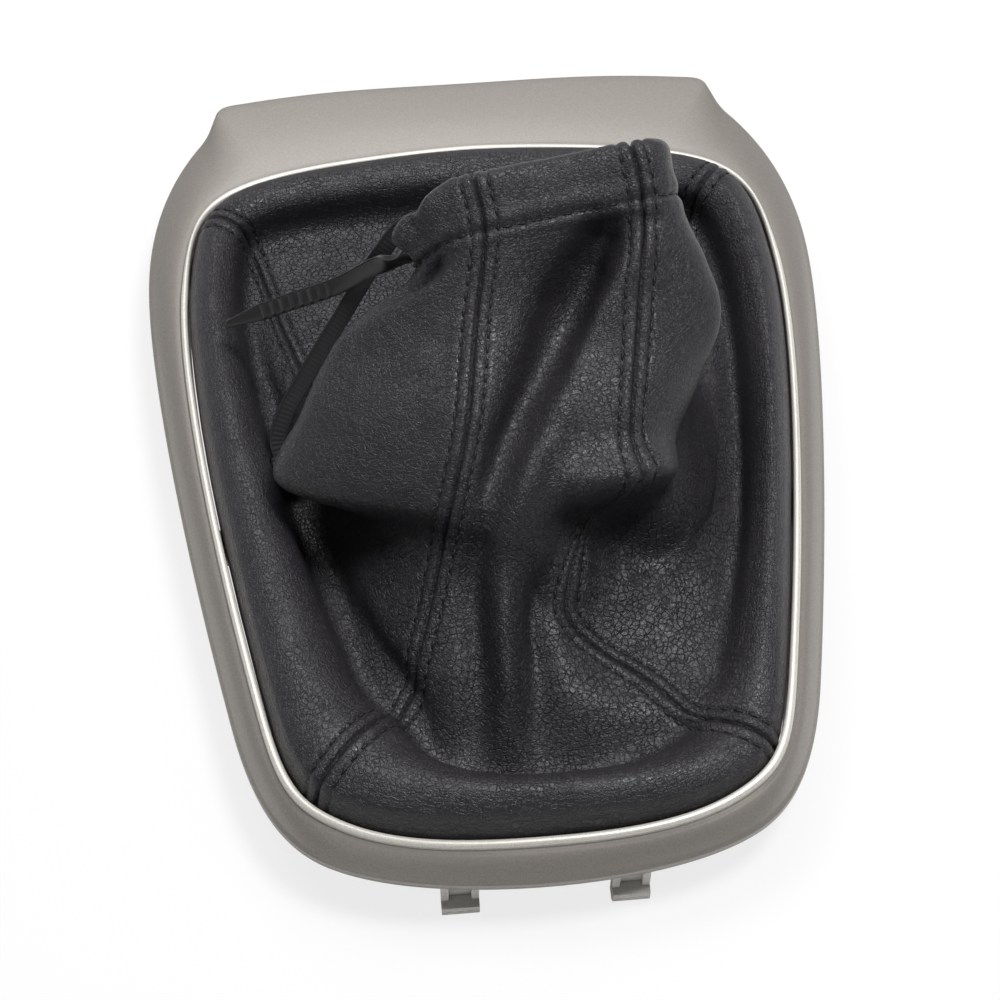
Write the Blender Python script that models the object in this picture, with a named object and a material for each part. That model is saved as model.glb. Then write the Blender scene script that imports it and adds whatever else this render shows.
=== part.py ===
"""Gear lever gaiter with its trim surround.

A painted moulded surround clips into the centre console. Four leather panels, sewn at the
corners, are folded round a plastic frame that snaps in below the surround, and rise to a neck
whose hem holds a loose cable tie. Sizes are in millimetres and become metres through MM.
X is to the right, Y to the rear and Z up. Z is 0 at the clip tips.
"""

import math

import bmesh
import bpy
import numpy as np
from mathutils import Vector

MM = 0.001

# Gaps
SEAT_GAP = 0.3  # between pieces that touch
SEAM_GAP = 0.3  # between two sewn panels
SEAM_FLARE = 0.3  # what each panel's edge gives way on its inner side

# Lip, the rounded bead round the opening: half of its plan, mirrored in X
LIP_TOP_Z = 19.0
LIP_REAR_Y = 79.0
LIP_FRONT_Y = -96.7
LIP_HALF_WIDTH = 65.5
LIP_WIDEST_Y = 40.9
LIP_REAR_CORNER = (27.5, 3.6)  # inset from the widest side and from the rear
LIP_FRONT_SIDE = (14.0, 31.1)  # inset from the widest side and from the front
LIP_FRONT_CORNER = (28.5, 6.3)
LIP_BEAD_RADIUS = 0.9

# Surround moulding
WALL = 2.1
WALL_DEPTH = 7.0
LIP_STEP = 0.6  # the flange starts this far below the bead
LIP_STEP_WIDTH = 0.25
FLANGE_WIDTH_FRONT = 6.2
FLANGE_WIDTH_SIDE = 6.3
FLANGE_WIDTH_WIDEST = 8.5
FLANGE_DROP = 5.5
TAB_DEPTH = 23.9
TAB_HALF_WIDTH = 58.0
TAB_DROP = 3.0
TAB_CORNER = 6.4  # how far in from the tab's side its corner starts
TAB_BOW = 2.2  # the tab's rear edge is this far forward at its corners
TAB_SIDE = 5.0  # how far forward of the rear edge the corner ends
SHOULDER = (3.9, 13.6)  # the hollow beside the tab: out from its side, forward from its edge
WIDEST_AHEAD = 6.5  # the flange is widest this far behind the lip
FRONT_CORNER_FLANGE = (3.3, 5.2)  # the flange's corner: out and forward from the lip's corner
RIM_DEPTH = 2.0
RIM_WALL = 1.3
RIM_STEP = 0.2
FLANGE_WALL = 2.0
FLANGE_BULGE = 1.6  # how late the flange falls away: 1 is a straight slope
EDGE_ROUND = 0.6

# Mounting clips below the rim
CLIP_WIDTH = 7.2
CLIP_WALL = 2.2
CLIP_RIB = 1.5
CLIP_POCKET = 0.9
CLIP_POCKET_EDGE = 0.5
CLIP_BARB_HEIGHT = 4.6
CLIP_BARB_REACH = 1.5
CLIP_TIP_REACH = 0.4
CLIP_LEAD = 1.6  # height of the sloped part below the barb
CLIP_TUCK = 0.6  # how far the clip runs up into the rim
CLIP_DIMPLE = 0.8
CLIP_INSET = 2.0  # clip face behind the rim's outer face
CLIP_FRONT_X = 16.2
CLIP_REAR_X = 35.0
CLIP_REAR_INSET = 1.6  # as the tab's edge bows

# Hooks that hold the gaiter frame
HOOK_WIDTH = 8.0
HOOK_REACH = 2.7
HOOK_WALL = 1.8
HOOK_NOSE = 1.8
HOOK_TUCK = 1.5  # how far the hook runs up into the wall
HOOK_PLACES = (0.45, 1.75, 2.62, 4.55)  # along the lip, on both sides

# Gaiter frame, an L section below the bolster
FRAME_WIDTH = 5.6
FRAME_BASE = 2.5
FRAME_RIB = 1.5
FRAME_RIB_HEIGHT = 3.6
FRAME_CHAMFER = 0.5

# Leather
LEATHER = 1.2
SEAM_ALLOWANCE = 0.9  # extra thickness of the turned edge
SEAM_ALLOWANCE_WIDTH = 5.0
SEAM_ALLOWANCE_END = 6.0  # it ends this far below the hem
HEM_CHANNEL = 2.2
HEM_RETURN = 9.0
HEM_OPENING = 13.5  # unsewn length where the cable tie comes out
HEM_OPENING_LIFT = 0.6  # and how far above the hem line it starts

# Bolster section: how far in from the lip, and above the lip
BOLSTER_OUTER = (3.2, 5.0)
BOLSTER_CREST = (7.2, 7.4)
BOLSTER_INNER = (11.6, 3.4)
BOLSTER_SHARES = (1.1, 1.0, 1.0, 0.76, 1.0, 1.0, 1.0, 1.0)  # its width at each gaiter line
# The valley inside the bolster at each gaiter line: in from the lip, and below the lip
VALLEY = ((14.5, -4), (14.5, -6), (14, -5), (11.5, -3.5), (14, -5.5), (15, -6), (14, -6), (13.5, -6))
VALLEY_PULL = (8.0, 9.0)  # the front left corner of the valley is drawn in this far right and back
VALLEY_PULL_SPREAD = 0.07  # over this much of the ring

# Cable tie
TIE_WIDTH = 3.6
TIE_THICK = 1.1
TIE_HEAD = (5.6, 5.8, 4.2)
TIE_RIBS = 8
TIE_RIB_PITCH = 1.7
TIE_RIB_RISE = 0.25
TIE_FIRST_RIB = 20.0
TIE_TAPER = 12.0
TIE_TIP_SHARE = 0.42  # the tip's share of the width
TIE_BEVEL = 0.25
TIE_SLOT = (1.8, 0.4)  # the head's window along the strap, and its play across it

# Where the corner seams and the panel middles meet the lip, as places along its half outline
SEAM_FRONT_LEFT = -3.73
SEAM_FRONT_RIGHT = 3.42
SEAM_REAR_RIGHT = 1.42
SEAM_REAR_LEFT = -1.62
MIDDLE_RIGHT = 2.64
MIDDLE_LEFT = -2.5

# The gaiter above its bolster: each line runs up the leather, over the lower wall, under and
# over the fold, to just below the hem line
GAITER_LINES = (
    ((-20.8, -57, 21.5), (-15, -42, 34), (-12, -37, 43),
     (-8, -24.5, 51), (-5, -6, 60)),  # front left seam
    ((-0.5, -66.5, 22), (-1, -47, 32), (0.5, -38, 43),
     (4.5, -24.5, 50), (12, -1, 58)),  # front middle
    ((24.5, -65, 17.5), (9, -51.5, 24), (22, -37.5, 41),
     (23.5, -25, 50), (27, -4, 60)),  # front right seam
    ((43.5, -22, 17.5), (39.5, -28, 22), (35.5, -24.5, 34),
     (40, -11.5, 43), (44, -0.5, 51)),  # right middle
    ((42, 40, 14), (39, 15, 17), (37, 3, 27),
     (37, 3, 39), (37, 9, 50)),  # rear right seam
    ((0, 44, 14), (0, 16, 17), (0, 2, 27),
     (1, 2, 38), (4, 8, 48)),  # rear middle
    ((-44, 30, 14), (-38, 12, 18), (-31, 1, 28),
     (-27, 3, 37), (-21, 9, 47)),  # rear left seam
    ((-39.5, -8, 15.5), (-37.5, -15.5, 22), (-46.5, -18, 33),
     (-40.5, -10, 39), (-29.5, 0.5, 47)),  # left middle
)

# Neck, a flattened ring at the hem line: its middle, the way to its right end and the way it
# rises
NECK_CENTRE = (9.8, 14.6, 63.3)
NECK_ACROSS = (0.99, 0.126, 0.063)
NECK_AXIS = (0.0, 0.81, 0.59)
NECK_HALF_WIDTH = 27.7
NECK_HALF_DEPTH = 8.3
NECK_BAND = 10.4
# Where the front left seam, the front middle and the front right seam meet it, right of its
# middle, and how far short of the flat rear face the rear seams stand
NECK_LINES = (-12.2, 3.2, 19.2, 3.0, 0.5)

# Folds in the leather: width, then points along the fold as (line, height along the leather,
# rise). A line of 1.5 is halfway between the front middle and the front right seam.
FOLDS = (
    (6.5, ((1.3, 141, 0), (1.28, 135, -3.2), (1.15, 128, -5), (0.97, 119, -5), (0.8, 110, -4.2),
           (0.55, 100, -3.2), (0.35, 91, -1.8), (0.3, 84, 0))),  # the hollow below the hem
    (5.0, ((1.8, 139, 0), (1.66, 131, 2.2), (1.4, 120, 3.0), (1.17, 110, 3.0), (1.02, 100, 2.8),
           (0.88, 90, 2.4), (0.8, 80, 2.6), (0.76, 70, 3.0), (0.78, 60, 3.0), (0.85, 50, 2.2),
           (0.9, 40, 0))),  # the ridge beside it, down to the front bolster
    (4.5, ((0.3, 87, 0), (0.4, 78, -2.0), (0.45, 68, -2.6), (0.53, 58, -2.6), (0.68, 48, -1.8),
           (0.78, 39, 0))),  # the groove left of the ridge
    (4.5, ((1.3, 83, 0), (1.2, 73, -2.4), (1.12, 62, -2.6), (1.08, 52, -2.0), (1.06, 41, 0))),
)

# Cable tie outside the hem: centre line points from the tip to the hem, and from the hem to
# the head, with the way that its flat side faces at the free end
TIE_TAIL = ((-55.5, 21, 31), (-43.5, 19.5, 38), (-31, 17.5, 45.5), (-24, 15.5, 52.5))
TIE_TAIL_FACE = (0.15, -0.6, 0.8)
TIE_RUN = (
    (-20.5, 24, 55), (-26, 21.5, 46), (-32.5, 16, 37), (-40, 8, 28), (-44.5, 1, 24.8), (-46, -4, 23.2),
)
TIE_RUN_FACE = (-0.35, 0.45, -0.8)
TIE_LOOP = (0.862, 0.755)  # where along the ring the two ends leave the channel
TIE_LEVELS = (3.4, 7.6)  # heights of the two ends above the hem line

# Leather wrap round the frame: its outer face, out from the lip line and below the lip
WRAP_OUT = -LIP_BEAD_RADIUS - SEAT_GAP
FRAME_OUT = WRAP_OUT - LEATHER - SEAT_GAP
FRAME_TOP = -2.0
FRAME_BOTTOM = FRAME_TOP - FRAME_RIB_HEIGHT - FRAME_BASE
WRAP_DEPTH = -(FRAME_BOTTOM - SEAT_GAP - LEATHER)
WRAP_CORNER = 1.6

# Facets: the lip place that faces each knot of the surround's outer edge and the steps between,
# the columns of each panel, and the steps between the rings of the leather
EDGE_TO_LIP = (0.0, 0.92, 1.12, 1.42, 2.0, 3.0, 4.0, 5.0)
EDGE_STEPS = (5, 3, 4, 6, 9, 6, 6)
FRAME_STATIONS = 80
TIE_STATIONS = 66
PANEL_COLUMNS = {"front_panel": 18, "right_panel": 16, "rear_panel": 15, "left_panel": 16}
ROW_STEPS = (1, 1, 1, 1, 1, 1, 1, 1, 2, 2, 2, 3, 4, 3, 3, 3, 4, 2, 1, 1, 2)
LIP_ROWS = 12  # the rings that follow the lip
BOLSTER_ROWS = 3  # the last of them before the valley, whose width varies
HEM_ROW = LIP_ROWS + len(GAITER_LINES[0])


def remove_everything():
    for obj in list(bpy.data.objects):
        bpy.data.objects.remove(obj, do_unlink=True)


def material(name, colour, roughness, metallic):
    mat = bpy.data.materials.new(name)
    mat.use_nodes = True
    shader = mat.node_tree.nodes["Principled BSDF"]
    shader.inputs["Base Color"].default_value = (*colour, 1.0)
    shader.inputs["Roughness"].default_value = roughness
    shader.inputs["Metallic"].default_value = metallic
    return mat


def unit(vectors):
    return vectors / np.maximum(np.linalg.norm(vectors, axis=-1, keepdims=True), 1e-9)


def bezier_half(knots, place):
    """A point of a half outline. Each knot is x, y, heading in degrees, handle back and ahead."""
    i = int(min(max(math.floor(place), 0), len(knots) - 2))
    t = place - i
    ax, ay, a_heading, _, a_ahead = knots[i]
    bx, by, b_heading, b_back, _ = knots[i + 1]
    a, b = np.array((ax, ay)), np.array((bx, by))
    a_way = np.array((math.cos(math.radians(a_heading)), math.sin(math.radians(a_heading))))
    b_way = np.array((math.cos(math.radians(b_heading)), math.sin(math.radians(b_heading))))
    c, d = a + a_way * a_ahead, b - b_way * b_back
    return (1 - t) ** 3 * a + 3 * (1 - t) ** 2 * t * c + 3 * (1 - t) * t * t * d + t**3 * b


def lip_knots():
    side = LIP_HALF_WIDTH
    return (
        (0, LIP_REAR_Y, 0, 0, 11),
        (side - LIP_REAR_CORNER[0], LIP_REAR_Y - LIP_REAR_CORNER[1], -11, 9.5, 24),
        (side, LIP_WIDEST_Y, -87, 23, 22),
        (side - LIP_FRONT_SIDE[0], LIP_FRONT_Y + LIP_FRONT_SIDE[1], -102, 40, 16),
        (side - LIP_FRONT_CORNER[0], LIP_FRONT_Y + LIP_FRONT_CORNER[1], -151, 10, 11.5),
        (0, LIP_FRONT_Y, 180, 13, 0),
    )


def edge_knots():
    """The flange's outer edge, with a knot for each place in EDGE_TO_LIP."""
    side = LIP_HALF_WIDTH
    tab_y = LIP_REAR_Y + TAB_DEPTH
    front_side = (side - LIP_FRONT_SIDE[0], LIP_FRONT_Y + LIP_FRONT_SIDE[1])
    front_corner = (side - LIP_FRONT_CORNER[0], LIP_FRONT_Y + LIP_FRONT_CORNER[1])
    width = FLANGE_WIDTH_SIDE
    return (
        (0, tab_y, 0, 0, 20),
        (TAB_HALF_WIDTH - TAB_CORNER, tab_y - TAB_BOW, -8, 20, 3.2),
        (TAB_HALF_WIDTH, tab_y - TAB_SIDE, -68, 2.6, 4),
        (TAB_HALF_WIDTH + SHOULDER[0], tab_y - SHOULDER[1], -54, 4, 8),
        (side + FLANGE_WIDTH_WIDEST, LIP_WIDEST_Y + WIDEST_AHEAD, -90, 22, 24),
        (front_side[0] + width, front_side[1] + 1.0, -102, 40, 17),
        (front_corner[0] + FRONT_CORNER_FLANGE[0], front_corner[1] - FRONT_CORNER_FLANGE[1], -152, 10, 12),
        (0, LIP_FRONT_Y - FLANGE_WIDTH_FRONT, 180, 13, 0),
    )


def edge_drops():
    """How far the flange falls at each knot of its outer edge."""
    shoulder = TAB_DROP + 0.6 * (FLANGE_DROP - TAB_DROP)
    drops = [TAB_DROP, TAB_DROP, TAB_DROP, shoulder]
    return drops + [FLANGE_DROP] * (len(EDGE_TO_LIP) - len(drops))


def lip_point(place):
    """A point of the whole lip. Places run from 0 at the rear, to 5 at the front on the right
    side and to -5 on the left, and repeat every 10."""
    last = len(lip_knots()) - 1
    turn = (place + last) % (2 * last) - last
    x, y = bezier_half(lip_knots(), abs(turn))
    return np.array((x if turn >= 0 else -x, y))


def lip_frame(place):
    """Point, outward normal and forward tangent of the lip, for rising places."""
    step = 0.01
    tangent = unit(lip_point(place + step) - lip_point(place - step))
    return lip_point(place), np.array((-tangent[1], tangent[0])), tangent


def flange_section(width, drop):
    """The surround's section as (out from the lip line, height above the lip)."""
    bead = LIP_BEAD_RADIUS
    inner = -bead
    foot = bead + LIP_STEP_WIDTH
    foot_z = -bead - LIP_STEP
    wall_out = inner + WALL
    points = [(inner, -WALL_DEPTH), (inner, -bead - 1.5)]
    for angle in (180, 135, 90, 45, 5):
        a = math.radians(angle)
        points.append((bead * math.cos(a), bead * (math.sin(a) - 1)))
    points.append((foot, foot_z))
    reach = width - EDGE_ROUND * 0.6
    for share in (0.36, 0.7, 1.0):
        along = foot + (reach - foot) * share
        points.append((along, foot_z - (drop + foot_z) * share**FLANGE_BULGE))
    points.append((width, -drop - EDGE_ROUND))
    points.append((width, -drop - RIM_DEPTH))
    points.append((width - RIM_WALL, -drop - RIM_DEPTH))
    rim_in = width - RIM_WALL - RIM_STEP
    points.append((rim_in, -drop - FLANGE_WALL + 0.3))
    middle = 0.5 * (rim_in + wall_out)
    points.append((middle, -0.62 * drop - FLANGE_WALL - 0.4))
    points.append((wall_out + 0.2, foot_z - FLANGE_WALL - 0.5))
    points.append((wall_out, -WALL_DEPTH))
    return points


def ring_mesh(name, sections, mat, smooth_angle=35):
    """A closed ring through sections that all have the same number of points."""
    sections = np.asarray(sections, float) * MM
    count, per = sections.shape[:2]
    bm = bmesh.new()
    rows = [[bm.verts.new(Vector(p)) for p in section] for section in sections]
    for i in range(count):
        a, b = rows[i], rows[(i + 1) % count]
        for j in range(per):
            k = (j + 1) % per
            bm.faces.new((a[j], b[j], b[k], a[k]))
    return finish_mesh(name, bm, mat, smooth_angle)


def finish_mesh(name, bm, mat, smooth_angle=35):
    bmesh.ops.recalc_face_normals(bm, faces=bm.faces[:])
    mesh = bpy.data.meshes.new(name)
    bm.to_mesh(mesh)
    bm.free()
    if mesh_volume(mesh) < 0:
        mesh.flip_normals()
    mesh.materials.append(mat)
    mesh.shade_smooth()
    mesh.set_sharp_from_angle(angle=math.radians(smooth_angle))
    obj = bpy.data.objects.new(name, mesh)
    bpy.context.collection.objects.link(obj)
    return obj


def mesh_volume(mesh):
    bm = bmesh.new()
    bm.from_mesh(mesh)
    volume = bm.calc_volume(signed=True)
    bm.free()
    return volume


def prism(name, outline, width, seat):
    """A guide solid: a flat outline of (out, up) pairs, drawn out to both sides."""
    bm = bmesh.new()
    half = width / 2
    across, out, up, origin = seat
    base = [bm.verts.new(Vector((origin + out * a + up * b - across * half) * MM)) for a, b in outline]
    face = bm.faces.new(base)
    made = bmesh.ops.extrude_face_region(bm, geom=[face])["geom"]
    moved = [g for g in made if isinstance(g, bmesh.types.BMVert)]
    bmesh.ops.translate(bm, vec=Vector(across * width * MM), verts=moved)
    return guide(name, bm)


def guide(name, bm):
    bmesh.ops.recalc_face_normals(bm, faces=bm.faces[:])
    mesh = bpy.data.meshes.new(name)
    bm.to_mesh(mesh)
    bm.free()
    if mesh_volume(mesh) < 0:
        mesh.flip_normals()
    obj = bpy.data.objects.new(name, mesh)
    bpy.context.collection.objects.link(obj)
    obj.hide_render = True
    obj.display_type = "WIRE"
    return obj


def boolean(obj, tool, operation):
    cut = obj.modifiers.new(tool.name, "BOOLEAN")
    cut.operation = operation
    cut.solver = "EXACT"
    cut.object = tool


def seat_matrix(place):
    """Axes for something fixed to the lip at a place: across, out, up and origin."""
    point, normal, tangent = lip_frame(place)
    across = np.array((tangent[0], tangent[1], 0.0))
    out = np.array((normal[0], normal[1], 0.0))
    up = np.array((0.0, 0.0, 1.0))
    origin = np.array((point[0], point[1], LIP_TOP_Z))
    return across, out, up, origin


def clip_guides(name, x, outer_y, facing, edge_z):
    """A mounting clip: a wall with a pocket between two ribs, and a barb with two dimples on its
    lower half."""
    across = np.array((1.0, 0.0, 0.0))
    out = np.array((0.0, facing, 0.0))
    up = np.array((0.0, 0.0, 1.0))
    origin = np.array((x, outer_y - facing * CLIP_INSET, 0.0))
    top = edge_z - CLIP_TUCK
    barb = CLIP_BARB_HEIGHT
    reach = CLIP_BARB_REACH
    solid = prism(name, (
        (-CLIP_WALL, 0.0), (CLIP_TIP_REACH, 0.0), (reach, CLIP_LEAD), (reach, barb - 0.4),
        (0.0, barb), (0.0, top), (-CLIP_WALL, top),
    ), CLIP_WIDTH, (across, out, up, origin))
    low, high = barb + CLIP_POCKET_EDGE, top - 3 * CLIP_POCKET_EDGE
    pocket = prism(name + "_pocket", (
        (-CLIP_POCKET, low), (1.0, low), (1.0, high), (-CLIP_POCKET, high),
    ), CLIP_WIDTH - 2 * CLIP_RIB, (across, out, up, origin))
    boolean(solid, pocket, "DIFFERENCE")
    low = 0.5 * (CLIP_LEAD + barb - 0.4 - CLIP_DIMPLE)
    high = low + CLIP_DIMPLE
    for side in (-1, 1):
        beside = origin + across * side * CLIP_WIDTH * 0.22
        dimple = prism(name + f"_dimple_{side}", (
            (reach - 0.5, low), (reach + 1.0, low), (reach + 1.0, high), (reach - 0.5, high),
        ), CLIP_DIMPLE, (across, out, up, beside))
        boolean(solid, dimple, "DIFFERENCE")
    return solid


def hook_outline():
    """The section of a hook: a leg below the wall and a nose under the wrapped frame."""
    inner = -LIP_BEAD_RADIUS + 0.15
    seat = -(WRAP_DEPTH + SEAT_GAP)
    outer = inner + HOOK_WALL
    tip = inner - HOOK_REACH
    top = HOOK_TUCK - WALL_DEPTH
    foot = seat - HOOK_NOSE - 0.8
    return (
        (outer, top), (outer, foot), (inner + 0.6, foot), (tip, foot + HOOK_NOSE), (tip, seat),
        (inner, seat), (inner, top),
    )


def make_surround(mat):
    sections = []
    places = []
    knots = edge_knots()
    drops = edge_drops()
    for i, steps in enumerate(EDGE_STEPS):
        places += [i + j / steps for j in range(steps)]
    last = len(knots) - 1
    turns = places + [float(last)] + [-q for q in reversed(places[1:])]
    for turn in turns:
        q = abs(turn)
        side = 1 if turn >= 0 else -1
        lip = bezier_half(lip_knots(), np.interp(q, range(last + 1), EDGE_TO_LIP))
        edge = bezier_half(knots, q)
        drop = np.interp(q, range(last + 1), drops)
        out = unit(edge - lip)
        width = float(np.linalg.norm(edge - lip))
        section = []
        for a, z in flange_section(width, drop):
            x, y = lip + out * a
            section.append((side * x, y, LIP_TOP_Z + z))
        sections.append(section)
    surround = ring_mesh("trim_surround", sections, mat, 40)
    front_y = LIP_FRONT_Y - FLANGE_WIDTH_FRONT
    rear_y = LIP_REAR_Y + TAB_DEPTH
    front_z = LIP_TOP_Z - FLANGE_DROP
    rear_z = LIP_TOP_Z - TAB_DROP
    for side in (-1, 1):
        front = clip_guides(f"front_clip_{side}", side * CLIP_FRONT_X, front_y, -1, front_z)
        boolean(surround, front, "UNION")
        rear = clip_guides(f"rear_clip_{side}", side * CLIP_REAR_X, rear_y - CLIP_REAR_INSET, 1, rear_z)
        boolean(surround, rear, "UNION")
    for i, place in enumerate(HOOK_PLACES):
        for side in (-1, 1):
            hook = prism(f"hook_{i}_{side}", hook_outline(), HOOK_WIDTH, seat_matrix(side * place))
            boolean(surround, hook, "UNION")
    return surround


def make_frame(mat):
    section = (
        (FRAME_OUT - FRAME_CHAMFER, FRAME_BOTTOM), (FRAME_OUT, FRAME_BOTTOM + FRAME_CHAMFER),
        (FRAME_OUT, FRAME_TOP), (FRAME_OUT - FRAME_RIB, FRAME_TOP),
        (FRAME_OUT - FRAME_RIB, FRAME_BOTTOM + FRAME_BASE),
        (FRAME_OUT - FRAME_WIDTH, FRAME_BOTTOM + FRAME_BASE), (FRAME_OUT - FRAME_WIDTH, FRAME_BOTTOM),
    )
    sections = []
    for place in np.linspace(-5, 5, FRAME_STATIONS + 1)[:-1]:
        point, normal, _ = lip_frame(place)
        sections.append([(*(point + normal * a), LIP_TOP_Z + z) for a, z in section])
    return ring_mesh("gaiter_frame", sections, mat, 30)


def spline(knots, values, at):
    """A smooth curve through values at knots, with slopes from the neighbours on both sides."""
    knots = np.asarray(knots, float)
    gaps = np.diff(knots)
    rises = np.diff(values, axis=0) / gaps.reshape(-1, *[1] * (values.ndim - 1))
    slopes = np.empty_like(values)
    slopes[0], slopes[-1] = rises[0], rises[-1]
    before, after = gaps[:-1], gaps[1:]
    shape = (-1, *[1] * (values.ndim - 1))
    weight_a = (after / (before + after)).reshape(shape)
    slopes[1:-1] = rises[:-1] * weight_a + rises[1:] * (1 - weight_a)
    i = np.clip(np.searchsorted(knots, at, side="right") - 1, 0, len(gaps) - 1)
    gap = gaps[i].reshape(shape)
    t = ((at - knots[i]) / gaps[i]).reshape(shape)
    return (
        (2 * t**3 - 3 * t**2 + 1) * values[i]
        + (t**3 - 2 * t**2 + t) * gap * slopes[i]
        + (3 * t**2 - 2 * t**3) * values[i + 1]
        + (t**3 - t**2) * gap * slopes[i + 1]
    )


def ring_through(points, u):
    """A smooth closed curve through eight points, at u from 0 to 1. Spans of unlike length
    are weighted by the root of their length, so that it doesn't swing out."""
    points = np.asarray(points, float)
    count = len(points)
    spans = np.sqrt(np.linalg.norm(np.roll(points, -1, 0) - points, axis=1))[:, None]
    ahead = (np.roll(points, -1, 0) - points) / spans
    behind = np.roll(ahead, 1, 0)
    span_behind = np.roll(spans, 1, 0)
    slopes = (behind * spans + ahead * span_behind) / (spans + span_behind)
    place = (u % 1.0) * count
    i = np.minimum(place.astype(int), count - 1)
    j = (i + 1) % count
    t = (place - i)[:, None]
    return (
        (2 * t**3 - 3 * t**2 + 1) * points[i]
        + (t**3 - 2 * t**2 + t) * spans[i] * slopes[i]
        + (3 * t**2 - 2 * t**3) * points[j]
        + (t**3 - t**2) * spans[i] * slopes[j]
    )


def spline_ring(values, u):
    """Values at the eight lines, carried smoothly round the ring."""
    count = len(values)
    wrapped = np.concatenate((values[-2:], values, values[:3]))
    return spline(np.arange(-2, count + 3) / count, wrapped, u % 1.0)


def lip_places(u):
    """The lip place beside each u: the seams are at u 0, 0.25, 0.5 and 0.75."""
    turn = 2 * (len(lip_knots()) - 1)
    stops = [
        SEAM_FRONT_LEFT + turn, turn / 2, SEAM_FRONT_RIGHT, MIDDLE_RIGHT,
        SEAM_REAR_RIGHT, 0.0, SEAM_REAR_LEFT, MIDDLE_LEFT,
    ]
    stops = np.array([s + turn for s in stops[-2:]] + stops + [s - turn for s in stops[:3]])
    knots = np.arange(-2, len(stops) - 2) / 8
    return spline(knots, stops, u % 1.0)


def neck_ring(u, along, inward):
    """A flattened ring of the neck, at a distance along its axis and in from its outer face."""
    across, axis = (unit(np.array(way, float)) for way in (NECK_ACROSS, NECK_AXIS))
    axis = unit(axis - across * np.dot(axis, across))
    facing = np.cross(across, axis)
    flat = NECK_HALF_WIDTH - NECK_HALF_DEPTH
    cap = math.pi * NECK_HALF_DEPTH
    whole = 4 * flat + 2 * cap
    stops = np.array([
        NECK_LINES[0], NECK_LINES[1], NECK_LINES[2], flat + cap / 2,
        flat + cap - NECK_LINES[3], 2 * flat + cap, 3 * flat + cap + NECK_LINES[4],
        whole - flat - cap / 2,
    ])
    wrapped = np.concatenate((stops[-2:] - whole, stops, stops[:3] + whole))
    run = spline(np.arange(-2, 11) / 8, wrapped, u % 1.0) % whole
    shift = (run + flat) % whole
    radius = NECK_HALF_DEPTH - inward
    x = np.where(shift < 2 * flat, shift - flat, 0)
    y = np.where(shift < 2 * flat, radius, 0)
    right = (shift >= 2 * flat) & (shift < 2 * flat + cap)
    angle = (shift - 2 * flat) / NECK_HALF_DEPTH
    x = np.where(right, flat + radius * np.sin(angle), x)
    y = np.where(right, radius * np.cos(angle), y)
    rear = (shift >= 2 * flat + cap) & (shift < 4 * flat + cap)
    x = np.where(rear, 3 * flat + cap - shift, x)
    y = np.where(rear, -radius, y)
    left = shift >= 4 * flat + cap
    angle = (shift - 4 * flat - cap) / NECK_HALF_DEPTH
    x = np.where(left, -flat - radius * np.sin(angle), x)
    y = np.where(left, -radius * np.cos(angle), y)
    centre = np.array(NECK_CENTRE, float) + axis * along
    return centre + x[:, None] * across + y[:, None] * facing


def gaiter_rows(u):
    """Rings of the leather's outer face, from the cut edge below the frame to the fold inside
    the mouth. The first ones follow the lip, the others the gaiter's own lines."""
    frames = [lip_frame(place) for place in lip_places(u)]
    points = np.array([f[0] for f in frames])
    normals = np.array([f[1] for f in frames])
    wrap = (
        (FRAME_OUT - FRAME_WIDTH + 0.4, -WRAP_DEPTH), (FRAME_OUT - FRAME_WIDTH * 0.5, -WRAP_DEPTH),
        (WRAP_OUT - WRAP_CORNER, -WRAP_DEPTH),
        (WRAP_OUT - WRAP_CORNER / 4, -WRAP_DEPTH + WRAP_CORNER / 4),
        (WRAP_OUT, -WRAP_DEPTH + WRAP_CORNER), (WRAP_OUT, -4.0), (WRAP_OUT, -0.6),
        (-BOLSTER_OUTER[0] + 1.1, 2.2), (-BOLSTER_OUTER[0], BOLSTER_OUTER[1]),
        (-BOLSTER_CREST[0], BOLSTER_CREST[1]), (-BOLSTER_INNER[0], BOLSTER_INNER[1]),
    )
    rows = []
    share = spline_ring(np.array(BOLSTER_SHARES)[:, None], u)
    for i, (out, up) in enumerate(wrap):
        plan = points + normals * (out * share if i >= LIP_ROWS - 1 - BOLSTER_ROWS else out)
        rows.append(np.column_stack((plan, np.full(len(u), LIP_TOP_Z + up))))
    valley = spline_ring(np.array(VALLEY, float), u)
    plan = points - normals * valley[:, :1]
    near_corner = np.exp(-((((u + 0.5) % 1.0 - 0.5) / VALLEY_PULL_SPREAD) ** 2))
    plan += near_corner[:, None] * np.array(VALLEY_PULL)
    rows.append(np.column_stack((plan, LIP_TOP_Z + valley[:, 1])))
    lines = np.array(GAITER_LINES, float)
    rows += [ring_through(lines[:, i], u) for i in range(lines.shape[1])]
    depth = HEM_CHANNEL + 2 * LEATHER
    rows.append(neck_ring(u, 0.0, 0.0))
    rows.append(neck_ring(u, NECK_BAND, 0.0))
    rows.append(neck_ring(u, NECK_BAND + depth * 0.3, depth * 0.5))
    rows.append(neck_ring(u, NECK_BAND, depth))
    rows.append(neck_ring(u, NECK_BAND - HEM_RETURN, depth))
    return np.array(rows)


def row_heights():
    """How far along the leather each ring is, as the mean over the eight lines."""
    rows = gaiter_rows(np.arange(8) / 8)
    steps = np.linalg.norm(np.diff(rows, axis=0), axis=2).mean(axis=1)
    return np.concatenate(((0.0,), np.cumsum(steps)))


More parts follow.
